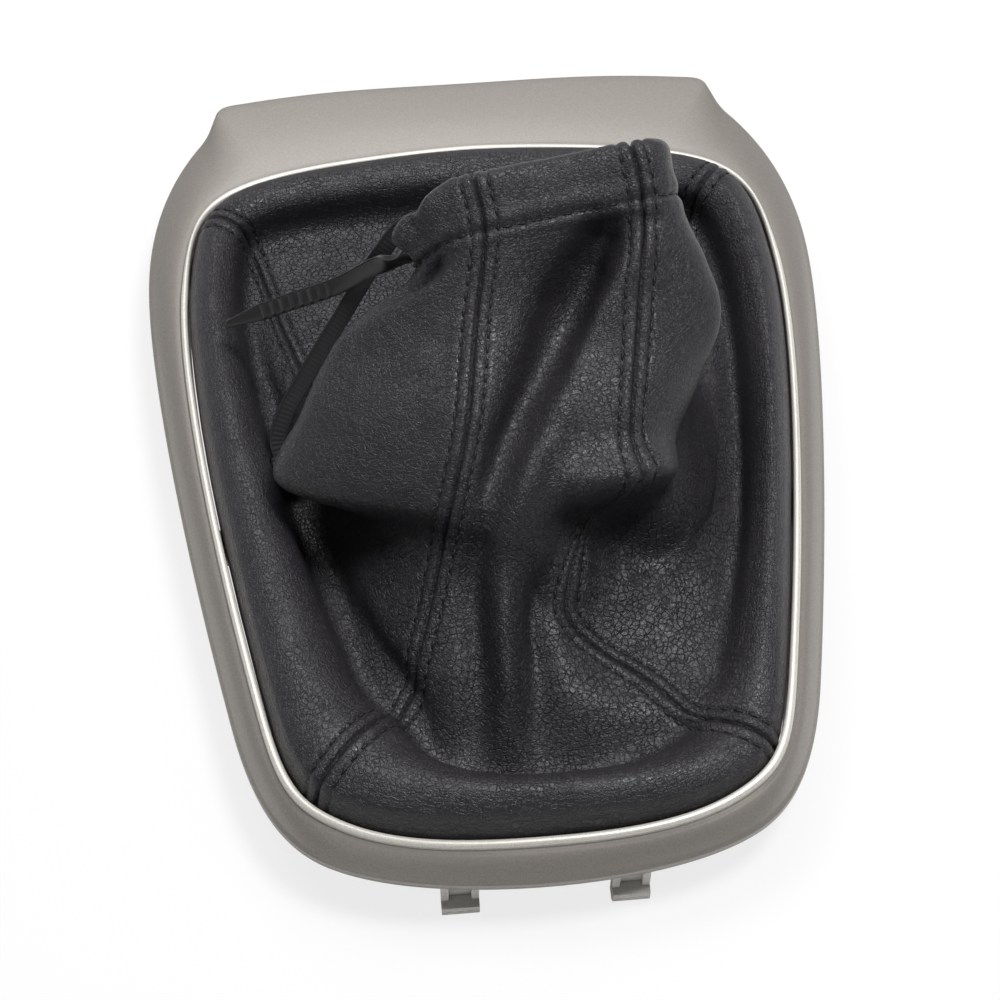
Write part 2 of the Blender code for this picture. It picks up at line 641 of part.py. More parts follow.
def fold_rise(u, v, speed):
    """How far the folds lift the leather at each v (rows) and u (columns). Speed is the length
    of leather from one line to the next there."""
    rise = np.zeros((len(v), len(u)))
    for width, path in FOLDS:
        line, height, lift = np.array(path, float).T
        order = np.argsort(height)
        centre = np.interp(v, height[order], line[order])[:, None]
        size = np.interp(v, height[order], lift[order], left=0, right=0)[:, None]
        apart = (u[None, :] * 8 - centre + 4) % 8 - 4
        rise += size * np.exp(-((apart * speed / width) ** 2))
    return rise


def along_rows(rows, heights, v):
    """The smooth lines up the leather through its rings, at heights v. Each column weights its
    spans by the root of their own length, so that short ones don't loop."""
    steps = np.diff(rows, axis=0)
    spans = np.sqrt(np.linalg.norm(steps, axis=2, keepdims=True))
    ahead = steps / spans
    slopes = np.empty_like(rows)
    slopes[0], slopes[-1] = ahead[0], ahead[-1]
    before, after = spans[:-1], spans[1:]
    slopes[1:-1] = (ahead[:-1] * after + ahead[1:] * before) / (before + after)
    i = np.clip(np.searchsorted(heights, v, side="right") - 1, 0, len(steps) - 1)
    t = ((v - heights[i]) / (heights[i + 1] - heights[i]))[:, None, None]
    return (
        (2 * t**3 - 3 * t**2 + 1) * rows[i]
        + (t**3 - 2 * t**2 + t) * spans[i] * slopes[i]
        + (3 * t**2 - 2 * t**3) * rows[i + 1]
        + (t**3 - t**2) * spans[i] * slopes[i + 1]
    )


def gaiter_surface(u, v, heights):
    """Points and outward normals of the leather's outer face, as (v, u, 3) arrays."""
    nudge = 1e-3
    rows = gaiter_rows(np.concatenate((u, u - nudge, u + nudge)))
    columns = len(u)
    points = along_rows(rows[:, :columns], heights, v)
    before = along_rows(rows[:, columns:2 * columns], heights, v)
    after = along_rows(rows[:, 2 * columns:], heights, v)
    low, high = np.maximum(v - 0.05, 0), np.minimum(v + 0.05, heights[-1])
    up = along_rows(rows[:, :columns], heights, high) - along_rows(rows[:, :columns], heights, low)
    normals = unit(np.cross(after - before, up))
    speed = np.linalg.norm(after - before, axis=2) / (16 * nudge)
    return points + normals * fold_rise(u, v, speed)[..., None], normals


def steps_through(stops, counts):
    values = [np.linspace(a, b, n, endpoint=False) for a, b, n in zip(stops, stops[1:], counts)]
    return np.concatenate(values + [np.array(stops[-1:])])


def panel_columns(first, count):
    """The u of each column of a panel, closer together where the lip or the neck turns."""
    u = np.linspace(first, first + 0.25, 200)
    frames = [lip_frame(place) for place in lip_places(u)]
    points = np.array([f[0] for f in frames])
    tangents = np.array([f[2] for f in frames])
    run = np.linalg.norm(np.diff(points, axis=0), axis=1)
    turn = np.linalg.norm(np.diff(tangents, axis=0), axis=1)
    neck = np.diff(neck_ring(u, 0.0, 0.0), axis=0)
    neck_run = np.linalg.norm(neck, axis=1)
    ways = unit(neck)
    neck_turn = np.linalg.norm(np.diff(ways, axis=0, append=ways[-1:]), axis=1)
    need = np.sqrt(turn * run) + 0.03 * run + 1.6 * np.sqrt(neck_turn * neck_run)
    need = np.concatenate(((0.0,), np.cumsum(need)))
    return np.interp(np.linspace(0, need[-1], count), need, u)


def panel_grid(name, first, heights):
    """The outer and inner points of a leather panel between two seams, and which of its cells
    are leather: the hem has an opening beside the rear left seam."""
    low_edge = heights[HEM_ROW] + HEM_OPENING_LIFT
    v = np.sort(np.append(steps_through(list(heights), ROW_STEPS), low_edge))
    u = panel_columns(first, PANEL_COLUMNS[name])
    fine = np.linspace(first, first + 0.25, 400)
    points, facing = gaiter_surface(fine, v, heights)
    fine_arc = np.cumsum(np.linalg.norm(np.diff(points, axis=1), axis=2), axis=1)
    fine_arc = np.concatenate((np.zeros((len(v), 1)), fine_arc), axis=1)
    outer = np.empty((len(v), len(u), 3))
    normals = np.empty_like(outer)
    for j, run in enumerate(fine_arc):
        ends = np.interp((SEAM_GAP / 2, run[-1] - SEAM_GAP / 2), run, fine)
        trimmed = np.interp(u, (first, first + 0.25), ends)
        for axis in range(3):
            outer[j, :, axis] = np.interp(trimmed, fine, points[j, :, axis])
            normals[j, :, axis] = np.interp(trimmed, fine, facing[j, :, axis])
    arc = np.cumsum(np.linalg.norm(np.diff(outer, axis=1), axis=2), axis=1)
    arc = np.concatenate((np.zeros((len(v), 1)), arc), axis=1)
    near_seam = np.minimum(arc, arc[:, -1:] - arc)
    thick = np.full(arc.shape, LEATHER)
    body = (v > heights[LIP_ROWS]) & (v < heights[HEM_ROW] - SEAM_ALLOWANCE_END)
    extra = SEAM_ALLOWANCE * np.clip(1 - near_seam / SEAM_ALLOWANCE_WIDTH, 0, 1)
    thick[body] += extra[body]
    inner = outer - normals * thick[..., None]
    inner[:, 0] += unit(outer[:, 1] - outer[:, 0]) * SEAM_FLARE
    inner[:, -1] += unit(outer[:, -2] - outer[:, -1]) * SEAM_FLARE
    leather = np.full((len(v) - 1, len(u) - 1), True)
    if name == "left_panel":
        edge = arc[np.searchsorted(v, low_edge)]
        open_columns = 0.5 * (edge[:-1] + edge[1:]) < HEM_OPENING
        leather[np.ix_(v[:-1] >= low_edge - 1e-6, open_columns)] = False
    return outer, inner, leather


def make_panel(name, first, heights, mat):
    """A closed shell: both faces of each cell, and a wall along every cut edge."""
    outer, inner, leather = panel_grid(name, first, heights)
    bm = bmesh.new()
    made = {}

    def corner(layer, j, i):
        if (layer, j, i) not in made:
            source = outer if layer == 0 else inner
            made[layer, j, i] = bm.verts.new(Vector(source[j, i] * MM))
        return made[layer, j, i]

    rows, columns = leather.shape
    for j in range(rows):
        for i in range(columns):
            if not leather[j, i]:
                continue
            ring = ((j, i), (j, i + 1), (j + 1, i + 1), (j + 1, i))
            bm.faces.new([corner(0, *at) for at in ring])
            bm.faces.new([corner(1, *at) for at in reversed(ring)])
            beside = ((j - 1, i), (j, i + 1), (j + 1, i), (j, i - 1))
            for k, (nj, ni) in enumerate(beside):
                if 0 <= nj < rows and 0 <= ni < columns and leather[nj, ni]:
                    continue
                a, b = ring[k], ring[(k + 1) % 4]
                bm.faces.new((corner(0, *b), corner(0, *a), corner(1, *a), corner(1, *b)))
    return finish_mesh(name, bm, mat, 60)


def tie_path(heights):
    """Centre line and facing of the cable tie, from its tip, round the hem channel, to its
    head."""
    hem = heights[HEM_ROW]
    start, end = TIE_LOOP
    turns = np.linspace(0, 1, 45)
    loop, faces = [], []
    for t in turns:
        u = np.array([start + (end + 1.0 - start) * t])
        v = np.array([hem + TIE_LEVELS[0] + (TIE_LEVELS[1] - TIE_LEVELS[0]) * t])
        point, normal = gaiter_surface(u, v, heights)
        loop.append(point[0, 0] - normal[0, 0] * (LEATHER + HEM_CHANNEL / 2))
        faces.append(normal[0, 0])
    tail = np.array(TIE_TAIL, float)
    run = np.array(TIE_RUN, float)
    points = np.concatenate((tail, loop, run))
    flats = np.concatenate((
        np.linspace(TIE_TAIL_FACE, TIE_TAIL_FACE, len(tail)), faces,
        np.linspace(TIE_RUN_FACE, TIE_RUN_FACE, len(run)),
    ))
    along = np.concatenate(((0.0,), np.cumsum(np.linalg.norm(np.diff(points, axis=0), axis=1))))
    return along, points, unit(flats)


def make_tie(heights, mat):
    """The strap as a flat section swept along its path, with a pointed tip, grip ribs and a
    head."""
    along, points, flats = tie_path(heights)
    length = along[-1]
    stops = [0.0, TIE_TAPER * 0.1, TIE_TAPER * 0.5, TIE_TAPER]
    for i in range(TIE_RIBS):
        at = TIE_FIRST_RIB + i * TIE_RIB_PITCH
        stops += [at, at + TIE_RIB_RISE, at + 3 * TIE_RIB_RISE, at + 4 * TIE_RIB_RISE]
    stops += list(np.linspace(stops[-1] + 3, length - 0.5, TIE_STATIONS))
    stops = np.array(stops)
    centres = spline(along, points, stops)
    faces = unit(spline(along, flats, stops))
    ahead = spline(along, points, np.minimum(stops + 0.3, length))
    ways = unit(ahead - spline(along, points, stops - 0.3))
    across = unit(np.cross(ways, faces))
    faces = np.cross(across, ways)
    bm = bmesh.new()
    rings = []
    for at, centre, side, face in zip(stops, centres, across, faces):
        half = TIE_WIDTH / 2 * min(1.0, TIE_TIP_SHARE + (1 - TIE_TIP_SHARE) * at / TIE_TAPER)
        rise = TIE_THICK / 2
        into_rib = (at - TIE_FIRST_RIB) % TIE_RIB_PITCH
        beyond = at - TIE_FIRST_RIB > TIE_RIBS * TIE_RIB_PITCH
        if at >= TIE_FIRST_RIB and not beyond and 0.5 < into_rib / TIE_RIB_RISE < 3.5:
            rise += TIE_RIB_RISE
        bevel = TIE_BEVEL
        outline = (
            (-half, -TIE_THICK / 2 + bevel), (-half + bevel, -TIE_THICK / 2),
            (half - bevel, -TIE_THICK / 2), (half, -TIE_THICK / 2 + bevel),
            (half, TIE_THICK / 2 - bevel), (half - bevel, rise), (-half + bevel, rise),
            (-half, TIE_THICK / 2 - bevel),
        )
        rings.append([bm.verts.new(Vector((centre + side * a + face * b) * MM)) for a, b in outline])
    for low, high in zip(rings, rings[1:]):
        for j in range(8):
            k = (j + 1) % 8
            bm.faces.new((low[j], low[k], high[k], high[j]))
    bm.faces.new(rings[0][::-1])
    bm.faces.new(rings[-1])
    strap = finish_mesh("cable_tie", bm, mat, 40)
    width, depth, thick = TIE_HEAD
    way, side, face = ways[-1], across[-1], faces[-1]
    origin = centres[-1] + way * (depth / 2 - 1.0) - face * (thick - TIE_THICK) * 0.3
    head_outline = []
    for a, b in ((-1, -0.7), (-0.7, -1), (0.7, -1), (1, -0.7), (1, 0.7), (0.7, 1), (-0.7, 1), (-1, 0.7)):
        head_outline.append((a * depth / 2, b * thick / 2))
    head = prism("cable_tie_head", head_outline, width, (side, way, face, origin))
    window = [(a * TIE_SLOT[0] / 2, b * thick) for a, b in ((-1, -1), (1, -1), (1, 1), (-1, 1))]
    slot = prism("cable_tie_slot", window, TIE_WIDTH + TIE_SLOT[1], (side, way, face, origin + way))
    boolean(head, slot, "DIFFERENCE")
    boolean(strap, head, "UNION")
    return strap


def main():
    remove_everything()
    silver = material("silver_paint", (0.45, 0.42, 0.38), 0.3, 0.6)
    black = material("black_plastic", (0.02, 0.02, 0.02), 0.5, 0.0)
    leather = material("leather", (0.025, 0.024, 0.027), 0.45, 0.0)
    nylon = material("nylon", (0.03, 0.03, 0.03), 0.4, 0.0)
    make_surround(silver)
    make_frame(black)
    heights = row_heights()
    for i, name in enumerate(("front_panel", "right_panel", "rear_panel", "left_panel")):
        make_panel(name, i / 4, heights, leather)
    make_tie(heights, nylon)


main()
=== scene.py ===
"""Looks of the gear lever gaiter: leather panels with sewn corners, painted surround, cable tie.

Sizes are in millimetres and become metres through MM. The leather is worked out from the same
lines as the CAD, with its folds, seams, stitches and wrinkles added.
"""

import math

import bmesh
import bpy
import numpy as np
from mathutils import Matrix, Vector


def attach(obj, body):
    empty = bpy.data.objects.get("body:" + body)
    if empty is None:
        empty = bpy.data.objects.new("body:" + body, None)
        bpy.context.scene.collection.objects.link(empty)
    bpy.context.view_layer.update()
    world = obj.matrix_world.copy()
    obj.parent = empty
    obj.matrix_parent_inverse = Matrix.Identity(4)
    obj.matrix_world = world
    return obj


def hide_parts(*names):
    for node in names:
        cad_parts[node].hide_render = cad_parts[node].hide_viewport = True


MM = 0.001

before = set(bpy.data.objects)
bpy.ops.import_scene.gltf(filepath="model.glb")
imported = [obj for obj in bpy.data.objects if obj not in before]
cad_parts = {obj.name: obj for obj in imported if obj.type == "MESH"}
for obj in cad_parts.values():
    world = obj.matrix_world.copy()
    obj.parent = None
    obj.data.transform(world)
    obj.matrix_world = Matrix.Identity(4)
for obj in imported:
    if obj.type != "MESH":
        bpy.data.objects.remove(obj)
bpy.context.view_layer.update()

# The lip is the rounded bead round the surround's opening. A wall goes down from it.
LIP_TOP_Z = 19.0
LIP_BEAD_RADIUS = 0.9
BEAD_FOOT = 0.6  # the flange meets the bead this far below its middle
WALL_FOOT = -7.0
WALL_OUT = 1.2

# Right half of the lip's line: x, y and heading of each knot, and the reach of the curve behind
# and ahead of it
LIP_KNOTS = (
    (0, 79.0, 0, 0, 11),
    (38.0, 75.4, -11, 9.5, 24),
    (65.5, 40.9, -87, 23, 22),
    (51.5, -65.6, -102, 40, 16),
    (37.0, -90.4, -151, 10, 11.5),
    (0, -96.7, 180, 13, 0),
)

# The surround's outer edge in the same way. Each knot faces a place on the lip, counted in knots,
# and lies below the lip by a drop.
EDGE_KNOTS = (
    (0, 102.9, 0, 0, 20),
    (51.6, 100.7, -8, 20, 3.2),
    (58.0, 97.9, -68, 2.6, 4),
    (61.9, 89.3, -54, 4, 8),
    (74.0, 47.4, -90, 22, 24),
    (57.8, -64.6, -102, 40, 17),
    (40.3, -95.6, -152, 10, 12),
    (0, -102.9, 180, 13, 0),
)
EDGE_TO_LIP = (0.0, 0.92, 1.12, 1.42, 2.0, 3.0, 4.0, 5.0)
EDGE_DROPS = (3.0, 3.0, 3.0, 4.5, 5.5, 5.5, 5.5, 5.5)
EDGE_STEPS = (24, 14, 14, 26, 44, 26, 26)
EDGE_ROUND = 0.6
FLANGE_CURVE = 1.6

# Leather. Rows are given as (out from the lip line, height above the lip) and run from the cut edge
# below the frame up to the hem. Eight lines run up the leather: the four seams and the middles of
# the four panels, from the front left seam through the front middle and round to the left middle.
LINES = 8
LEATHER = 1.2
WRAP_OUT = -1.2
WRAP_DEPTH = 9.6
FRAME_OUT = -2.7
FRAME_WIDTH = 5.6

# The padded roll inside the lip: its three rows, and each line's share of their width and height
BOLSTER = ((-3.2, 5.0), (-7.2, 7.4), (-11.6, 3.4))
BOLSTER_SHARES = (1.1, 1.0, 1.1, 0.8, 1.0, 1.0, 0.9, 0.93)
BOLSTER_LIFTS = (1.0, 1.0, 0.45, 0.85, 0.6, 0.5, 0.55, 0.95)

# The foot of the bolster on each line: how far in from the lip line, and the height above the lip
VALLEY = (
    (14.5, -4), (14.5, -6), (18, -0.8), (11.5, -3.5), (14, -5.5), (15, -6), (12.5, -6), (12.7, -6),
)
VALLEY_PULL = (8.0, 9.0)  # the front left corner is pulled in by so much in x and y
VALLEY_PULL_SPREADS = (0.11, 0.07)  # towards the left panel and the front one
BOLSTER_PULLS = (0.4, 0.75)  # the share of that pull that the bolster's upper rows take

# The place on the lip where each line starts, and its points above the valley
LIP_STOPS = (6.27, 5.0, 3.49, 2.64, 1.42, 0.0, -1.62, -2.5)
GAITER_LINES = (
    ((-20.8, -57, 21.5), (-15, -41, 33), (-12.6, -37.4, 43), (-8.4, -25.5, 52.4), (-5, -6, 60)),
    ((-0.5, -66.5, 22), (-1, -47, 32), (0.5, -38, 43), (4.5, -24.5, 50), (12, -1, 58)),
    ((24.5, -65, 17.5), (9, -51.5, 24), (22, -37.5, 41), (23.5, -25, 50), (27, -4, 60)),
    ((43.5, -22, 17.5), (39.5, -28, 22), (33, -22, 33.5), (38.6, -11.5, 43), (44, -0.5, 51)),
    ((42, 40, 14), (39, 15, 17), (37, 3, 27), (37, 3, 39), (37, 9, 50)),
    ((0, 44, 14), (0, 16, 17), (0, 2, 27), (1, 2, 38), (4, 8, 48)),
    ((-44, 30, 14), (-38, 12, 18), (-31, 1, 28), (-27, 3, 37), (-21, 9, 47)),
    ((-39.5, -8, 15.5), (-37.5, -15.5, 22), (-46.3, -18.6, 30.4), (-40.5, -12.5, 40.2), (-32.5, 0, 48.3)),
)

# The collar, a flat ring: its centre, its long and its upward directions and its sizes
NECK_CENTRE = (9.8, 14.6, 63.3)
NECK_ACROSS = (0.99, 0.126, 0.063)
NECK_AXIS = (0.0, 0.81, 0.59)
NECK_HALF_WIDTH = 27.7
NECK_HALF_DEPTH = 8.3
NECK_BAND = 10.4
NECK_BEND = (15.0, 21.0)  # the left end bends down beyond this distance, with this radius
NECK_TAPER = (16.0, 0.35, 3.3)  # from there the band narrows by this share and flattens by so much
NECK_LINES = (-12.2, 3.2, 19.2, 3.0, 0.5)  # where the front lines meet it, and the rear ones
HEM_CHANNEL = 2.2
HEM_RETURN = 9.0  # how far the folded leather goes down again inside
HEM_OPENING = 13.5  # the width left open for the tie, and how far above the hem seam it starts
HEM_OPENING_LIFT = 0.6

# Rows: how many lie below the valley's, the first that each setting acts on, and the mesh rows in
# the wrap, bolster, body, collar and inner fold of a panel
LIP_ROWS = 12
LIFT_ROW = LIP_ROWS - 5
BOLSTER_ROW = LIP_ROWS - 3
HEM_ROW = LIP_ROWS + len(GAITER_LINES[0])
PANEL_BANDS = (14, 30, 190, 38, 8)

# Folds: width in millimetres, then points along the fold as (line, height, rise). Lines run
# round the leather: 0 is the front left seam, 1 the front middle, 2 the front right seam.
FOLDS = (
    # the hollow below the hem
    (5.2, ((1.66, 138, 0), (1.52, 132, -6), (1.35, 126, -8), (1.15, 119, -7.8), (1.01, 112, -6.8),
           (0.88, 106, -5.6), (0.72, 100, -4.2), (0.58, 94, -3.0), (0.5, 88, -1.5))),
    # the ridge beside it, down to the front bolster
    (4.2, ((2.0, 135, 0), (1.84, 130, 2.6), (1.66, 125, 3.8), (1.49, 119, 4.4), (1.34, 114, 4.4),
           (1.23, 108, 4.0), (1.14, 102, 3.6), (1.04, 96, 3.4), (0.95, 89, 3.2), (0.87, 79, 3.2),
           (0.8, 70, 3.8), (0.79, 62, 3.8), (0.83, 54, 3.0), (0.88, 46, 1.4), (0.9, 40, 0))),
    # the grooves on both sides of the ridge
    (3.4, ((0.56, 88, 0), (0.52, 78, -2.4), (0.48, 70, -3.0), (0.5, 62, -3.0), (0.59, 54, -2.6),
           (0.7, 47, -1.6), (0.78, 40, 0))),
    (3.4, ((1.75, 82, 0), (1.5, 74, -2.6), (1.22, 64, -3.2), (1.1, 56, -2.6), (1.03, 49, -1.6),
           (1.0, 42, 0))),
    # the fold that hangs over on the right, and the undercut below it
    (3.6, ((1.25, 93, 0), (1.5, 93, 2.8), (1.85, 94, 3.8), (2.2, 94, 3.8), (2.6, 91, 3.0),
           (2.9, 87, 0))),
    (5.2, ((1.25, 82, 0), (1.5, 83.5, -4.5), (1.85, 84, -7), (2.2, 83, -7), (2.5, 79, -5.5),
           (2.75, 70, 0))),
    # the crease that cuts off the front left corner
    (3.2, ((-0.8, 45, 0), (-0.6, 47, -1.2), (-0.4, 49, -1.6), (-0.16, 48, -1.8), (0.1, 46, -1.6),
           (0.35, 43, -1.2), (0.6, 40, 0))),
    # the waist below the hem's left end, and the gathers in the end itself
    (4.0, ((-1.1, 132, 0), (-0.85, 134, -3), (-0.55, 134, -3.5), (-0.3, 132, 0))),
    (1.6, ((-0.58, 141, 0), (-0.56, 145, -1.1), (-0.5, 152, -1.3), (-0.46, 158, 0))),
)

# Clips: half their distance in X, the rim's outer face, the way that they face and the height of
# the edge above them
CLIPS = ((16.2, -102.9, -1, 13.5), (35.0, 101.3, 1, 16.0))
CLIP_BLOCK = 7.2
CLIP_WEB = 6.9
CLIP_RIB = 1.5
CLIP_LUMPS = (-1.9, 0.0, 1.9)

# Hooks: their places on the right half of the lip, and their outline as (out, up from the lip)
HOOK_PLACES = (0.45, 1.75, 2.62, 4.55)
HOOK_WIDTH = 8.0
HOOK_OUTLINE = (
    (1.05, -5.5), (1.05, -12.5), (-0.15, -12.5), (-3.45, -10.7), (-3.45, -9.9), (-0.75, -9.9), (-0.75, -5.5),
)

# Cable tie: the loose tail, and the run from the hem down to the head behind the left bulge, each
# with the way that the strap's outer side faces
TIE_TAIL = ((-55.5, 21, 31), (-43.5, 19.5, 38), (-31, 17.5, 45.5), (-24, 15.5, 52.5))
TIE_TAIL_FACE = (0.15, -0.6, 0.8)
TIE_RUN = (
    (-18.5, 21.5, 56), (-22.3, 19.8, 51.5), (-31.3, 14.2, 39), (-40, 6.4, 29.2), (-44.4, 1.4, 24.4),
    (-46.2, -2.6, 20.8), (-45.3, -6, 18),
)
TIE_RUN_FACE = (-0.1, 0.52, -0.82)
TIE_LOOP = (0.88, 0.755)  # where it goes into the hem and comes out, as shares of the way round
TIE_LEVELS = (3.4, 7.6)  # and how far above the hem's seam
TIE_RIBS = 8
TIE_FIRST_RIB = 9.8
TIE_RIB_PITCH = 2.3
TIE_TOOTH = 0.95
TIE_WIDTH = 3.6
TIE_THICK = 1.1
TIE_TEETH_FROM = 34.0
TIE_TAPER = 9.0
TIE_HEAD = (5.6, 4.2)

# Stitching
SEAM_TO_STITCH = 2.7
STITCH_PITCH = 3.0
STITCH_LENGTH = 2.35
STITCH_WIDTH = 0.6


def unit(vectors):
    return vectors / np.maximum(np.linalg.norm(vectors, axis=-1, keepdims=True), 1e-9)


def bezier_half(knots, place):
    """A point of half an outline, at a place counted in knots."""
    i = int(min(max(math.floor(place), 0), len(knots) - 2))
    t = place - i
    ax, ay, a_heading, _, a_ahead = knots[i]
    bx, by, b_heading, b_back, _ = knots[i + 1]
    a, b = np.array((ax, ay)), np.array((bx, by))
    a_way = np.array((math.cos(math.radians(a_heading)), math.sin(math.radians(a_heading))))
    b_way = np.array((math.cos(math.radians(b_heading)), math.sin(math.radians(b_heading))))
    c, d = a + a_way * a_ahead, b - b_way * b_back
    return (1 - t) ** 3 * a + 3 * (1 - t) ** 2 * t * c + 3 * (1 - t) * t * t * d + t**3 * b


def lip_point(place):
    turn = (place + 5) % 10 - 5
    x, y = bezier_half(LIP_KNOTS, abs(turn))
    return np.array((x if turn >= 0 else -x, y))


def lip_frame(place):
    """The lip's point, outward normal and tangent, in plan."""
    step = 0.01
    tangent = unit(lip_point(place + step) - lip_point(place - step))
    return lip_point(place), np.array((-tangent[1], tangent[0])), tangent


def spline(knots, values, at):
    """A smooth curve through values given at uneven knots."""
    knots = np.asarray(knots, float)
    values = np.asarray(values, float)
    shape = (-1, *[1] * (values.ndim - 1))
    gaps = np.diff(knots)
    rises = np.diff(values, axis=0) / gaps.reshape(shape)
    slopes = np.empty_like(values)
    slopes[0], slopes[-1] = rises[0], rises[-1]
    before, after = gaps[:-1], gaps[1:]
    weight_a = (after / (before + after)).reshape(shape)
    slopes[1:-1] = rises[:-1] * weight_a + rises[1:] * (1 - weight_a)
    i = np.clip(np.searchsorted(knots, at, side="right") - 1, 0, len(gaps) - 1)
    t = ((at - knots[i]) / gaps[i]).reshape(shape)
    return hermite(t, gaps[i].reshape(shape), values[i], slopes[i], values[i + 1], slopes[i + 1])


def hermite(t, gap, a, a_slope, b, b_slope):
    return (
        (2 * t**3 - 3 * t**2 + 1) * a
        + (t**3 - 2 * t**2 + t) * gap * a_slope
        + (3 * t**2 - 2 * t**3) * b
        + (t**3 - t**2) * gap * b_slope
    )


def ring_through(points, u):
    """A closed smooth ring through points, at the shares u of the way round."""
    points = np.asarray(points, float)
    count = len(points)
    spans = np.sqrt(np.linalg.norm(np.roll(points, -1, 0) - points, axis=1))[:, None]
    ahead = (np.roll(points, -1, 0) - points) / spans
    behind = np.roll(ahead, 1, 0)
    span_behind = np.roll(spans, 1, 0)
    slopes = (behind * spans + ahead * span_behind) / (spans + span_behind)
    place = (u % 1.0) * count
    i = np.minimum(place.astype(int), count - 1)
    j = (i + 1) % count
    return hermite((place - i)[:, None], spans[i], points[i], slopes[i], points[j], slopes[j])


def spline_ring(values, u):
    values = np.asarray(values, float)
    count = len(values)
    wrapped = np.concatenate((values[-2:], values, values[:3]))
    return spline(np.arange(-2, count + 3) / count, wrapped, u % 1.0)


def lip_places(u):
    turn = 10
    stops = list(LIP_STOPS)
    stops = np.array([s + turn for s in stops[-2:]] + stops + [s - turn for s in stops[:3]])
    return spline(np.arange(-2, len(stops) - 2) / LINES, stops, u % 1.0)


def neck_ring(u, along, inward):
    """A ring of the collar, so far along its axis and inside its outer face."""
    across, axis = (unit(np.array(way, float)) for way in (NECK_ACROSS, NECK_AXIS))
    axis = unit(axis - across * np.dot(axis, across))
    facing = np.cross(across, axis)
    flat = NECK_HALF_WIDTH - NECK_HALF_DEPTH
    cap = math.pi * NECK_HALF_DEPTH
    whole = 4 * flat + 2 * cap
    stops = np.array([
        NECK_LINES[0], NECK_LINES[1], NECK_LINES[2], flat + cap / 2,
        flat + cap - NECK_LINES[3], 2 * flat + cap, 3 * flat + cap + NECK_LINES[4],
        whole - flat - cap / 2,
    ])
    wrapped = np.concatenate((stops[-2:] - whole, stops, stops[:3] + whole))
    run = spline(np.arange(-2, LINES + 3) / LINES, wrapped, u % 1.0) % whole
    shift = (run + flat) % whole
    radius = NECK_HALF_DEPTH - inward
    x = np.where(shift < 2 * flat, shift - flat, 0)
    y = np.where(shift < 2 * flat, radius, 0)
    right = (shift >= 2 * flat) & (shift < 2 * flat + cap)
    angle = (shift - 2 * flat) / NECK_HALF_DEPTH
    x = np.where(right, flat + radius * np.sin(angle), x)
    y = np.where(right, radius * np.cos(angle), y)
    rear = (shift >= 2 * flat + cap) & (shift < 4 * flat + cap)
    x = np.where(rear, 3 * flat + cap - shift, x)
    y = np.where(rear, -radius, y)
    left = shift >= 4 * flat + cap
    angle = (shift - 4 * flat - cap) / NECK_HALF_DEPTH
    x = np.where(left, -flat - radius * np.sin(angle), x)
    y = np.where(left, -radius * np.cos(angle), y)
    taper = np.clip((-x - NECK_TAPER[0]) / (NECK_HALF_WIDTH - NECK_TAPER[0]), 0, 1)
    along = along * (1 - NECK_TAPER[1] * taper)
    y = y * (1 - NECK_TAPER[2] * taper / radius)
    turned = np.clip(-x - NECK_BEND[0], 0, None) / NECK_BEND[1]
    reach = NECK_BEND[1] + along
    x = np.where(turned > 0, -NECK_BEND[0] - reach * np.sin(turned), x)
    rise = np.where(turned > 0, reach * np.cos(turned) - NECK_BEND[1], along)
    return np.array(NECK_CENTRE, float) + np.outer(rise, axis) + np.outer(x, across) + np.outer(y, facing)


def gaiter_rows(u):
    """Rings of the leather's outer face, from the cut edge below the frame to the inner fold."""
    frames = [lip_frame(place) for place in lip_places(u)]
    points = np.array([f[0] for f in frames])
    normals = np.array([f[1] for f in frames])
    wrap = (
        (FRAME_OUT - FRAME_WIDTH + 0.4, -WRAP_DEPTH), (FRAME_OUT - FRAME_WIDTH * 0.5, -WRAP_DEPTH),
        (WRAP_OUT - 1.6, -WRAP_DEPTH), (WRAP_OUT - 0.4, -WRAP_DEPTH + 0.4),
        (WRAP_OUT, -WRAP_DEPTH + 1.6), (WRAP_OUT, -4.0), (WRAP_OUT, -0.6),
        (BOLSTER[0][0] + 1.1, 2.2), *BOLSTER,
    )
    rows = []
    share = spline_ring(np.array(BOLSTER_SHARES)[:, None], u)
    lift = spline_ring(np.array(BOLSTER_LIFTS)[:, None], u)[:, 0]
    past = (u + 0.5) % 1.0 - 0.5
    near_corner = np.exp(-((past / np.where(past < 0, *VALLEY_PULL_SPREADS)) ** 2))[:, None]
    pull = near_corner * np.array(VALLEY_PULL)
    for i, (out, up) in enumerate(wrap):
        plan = points + normals * (out * share if i >= BOLSTER_ROW else out)
        if i >= BOLSTER_ROW:
            plan = plan + pull * BOLSTER_PULLS[i - BOLSTER_ROW]
        rise = up * lift if i >= LIFT_ROW else np.full(len(u), float(up))
        rows.append(np.column_stack((plan, LIP_TOP_Z + rise)))
    valley = spline_ring(VALLEY, u)
    plan = points - normals * valley[:, :1]
    plan += pull
    rows.append(np.column_stack((plan, LIP_TOP_Z + valley[:, 1])))
    lines = np.array(GAITER_LINES, float)
    rows += [ring_through(lines[:, i], u) for i in range(lines.shape[1])]
    depth = HEM_CHANNEL + 2 * LEATHER
    rows.append(neck_ring(u, 0.0, 0.0))
    rows.append(neck_ring(u, NECK_BAND, 0.0))
    rows.append(neck_ring(u, NECK_BAND + depth * 0.3, depth * 0.5))
    rows.append(neck_ring(u, NECK_BAND, depth))
    rows.append(neck_ring(u, NECK_BAND - HEM_RETURN, depth))
    return np.array(rows)


def row_heights():
    rows = gaiter_rows(np.arange(LINES) / LINES)
    steps = np.linalg.norm(np.diff(rows, axis=0), axis=2).mean(axis=1)
    return np.concatenate(((0.0,), np.cumsum(steps)))


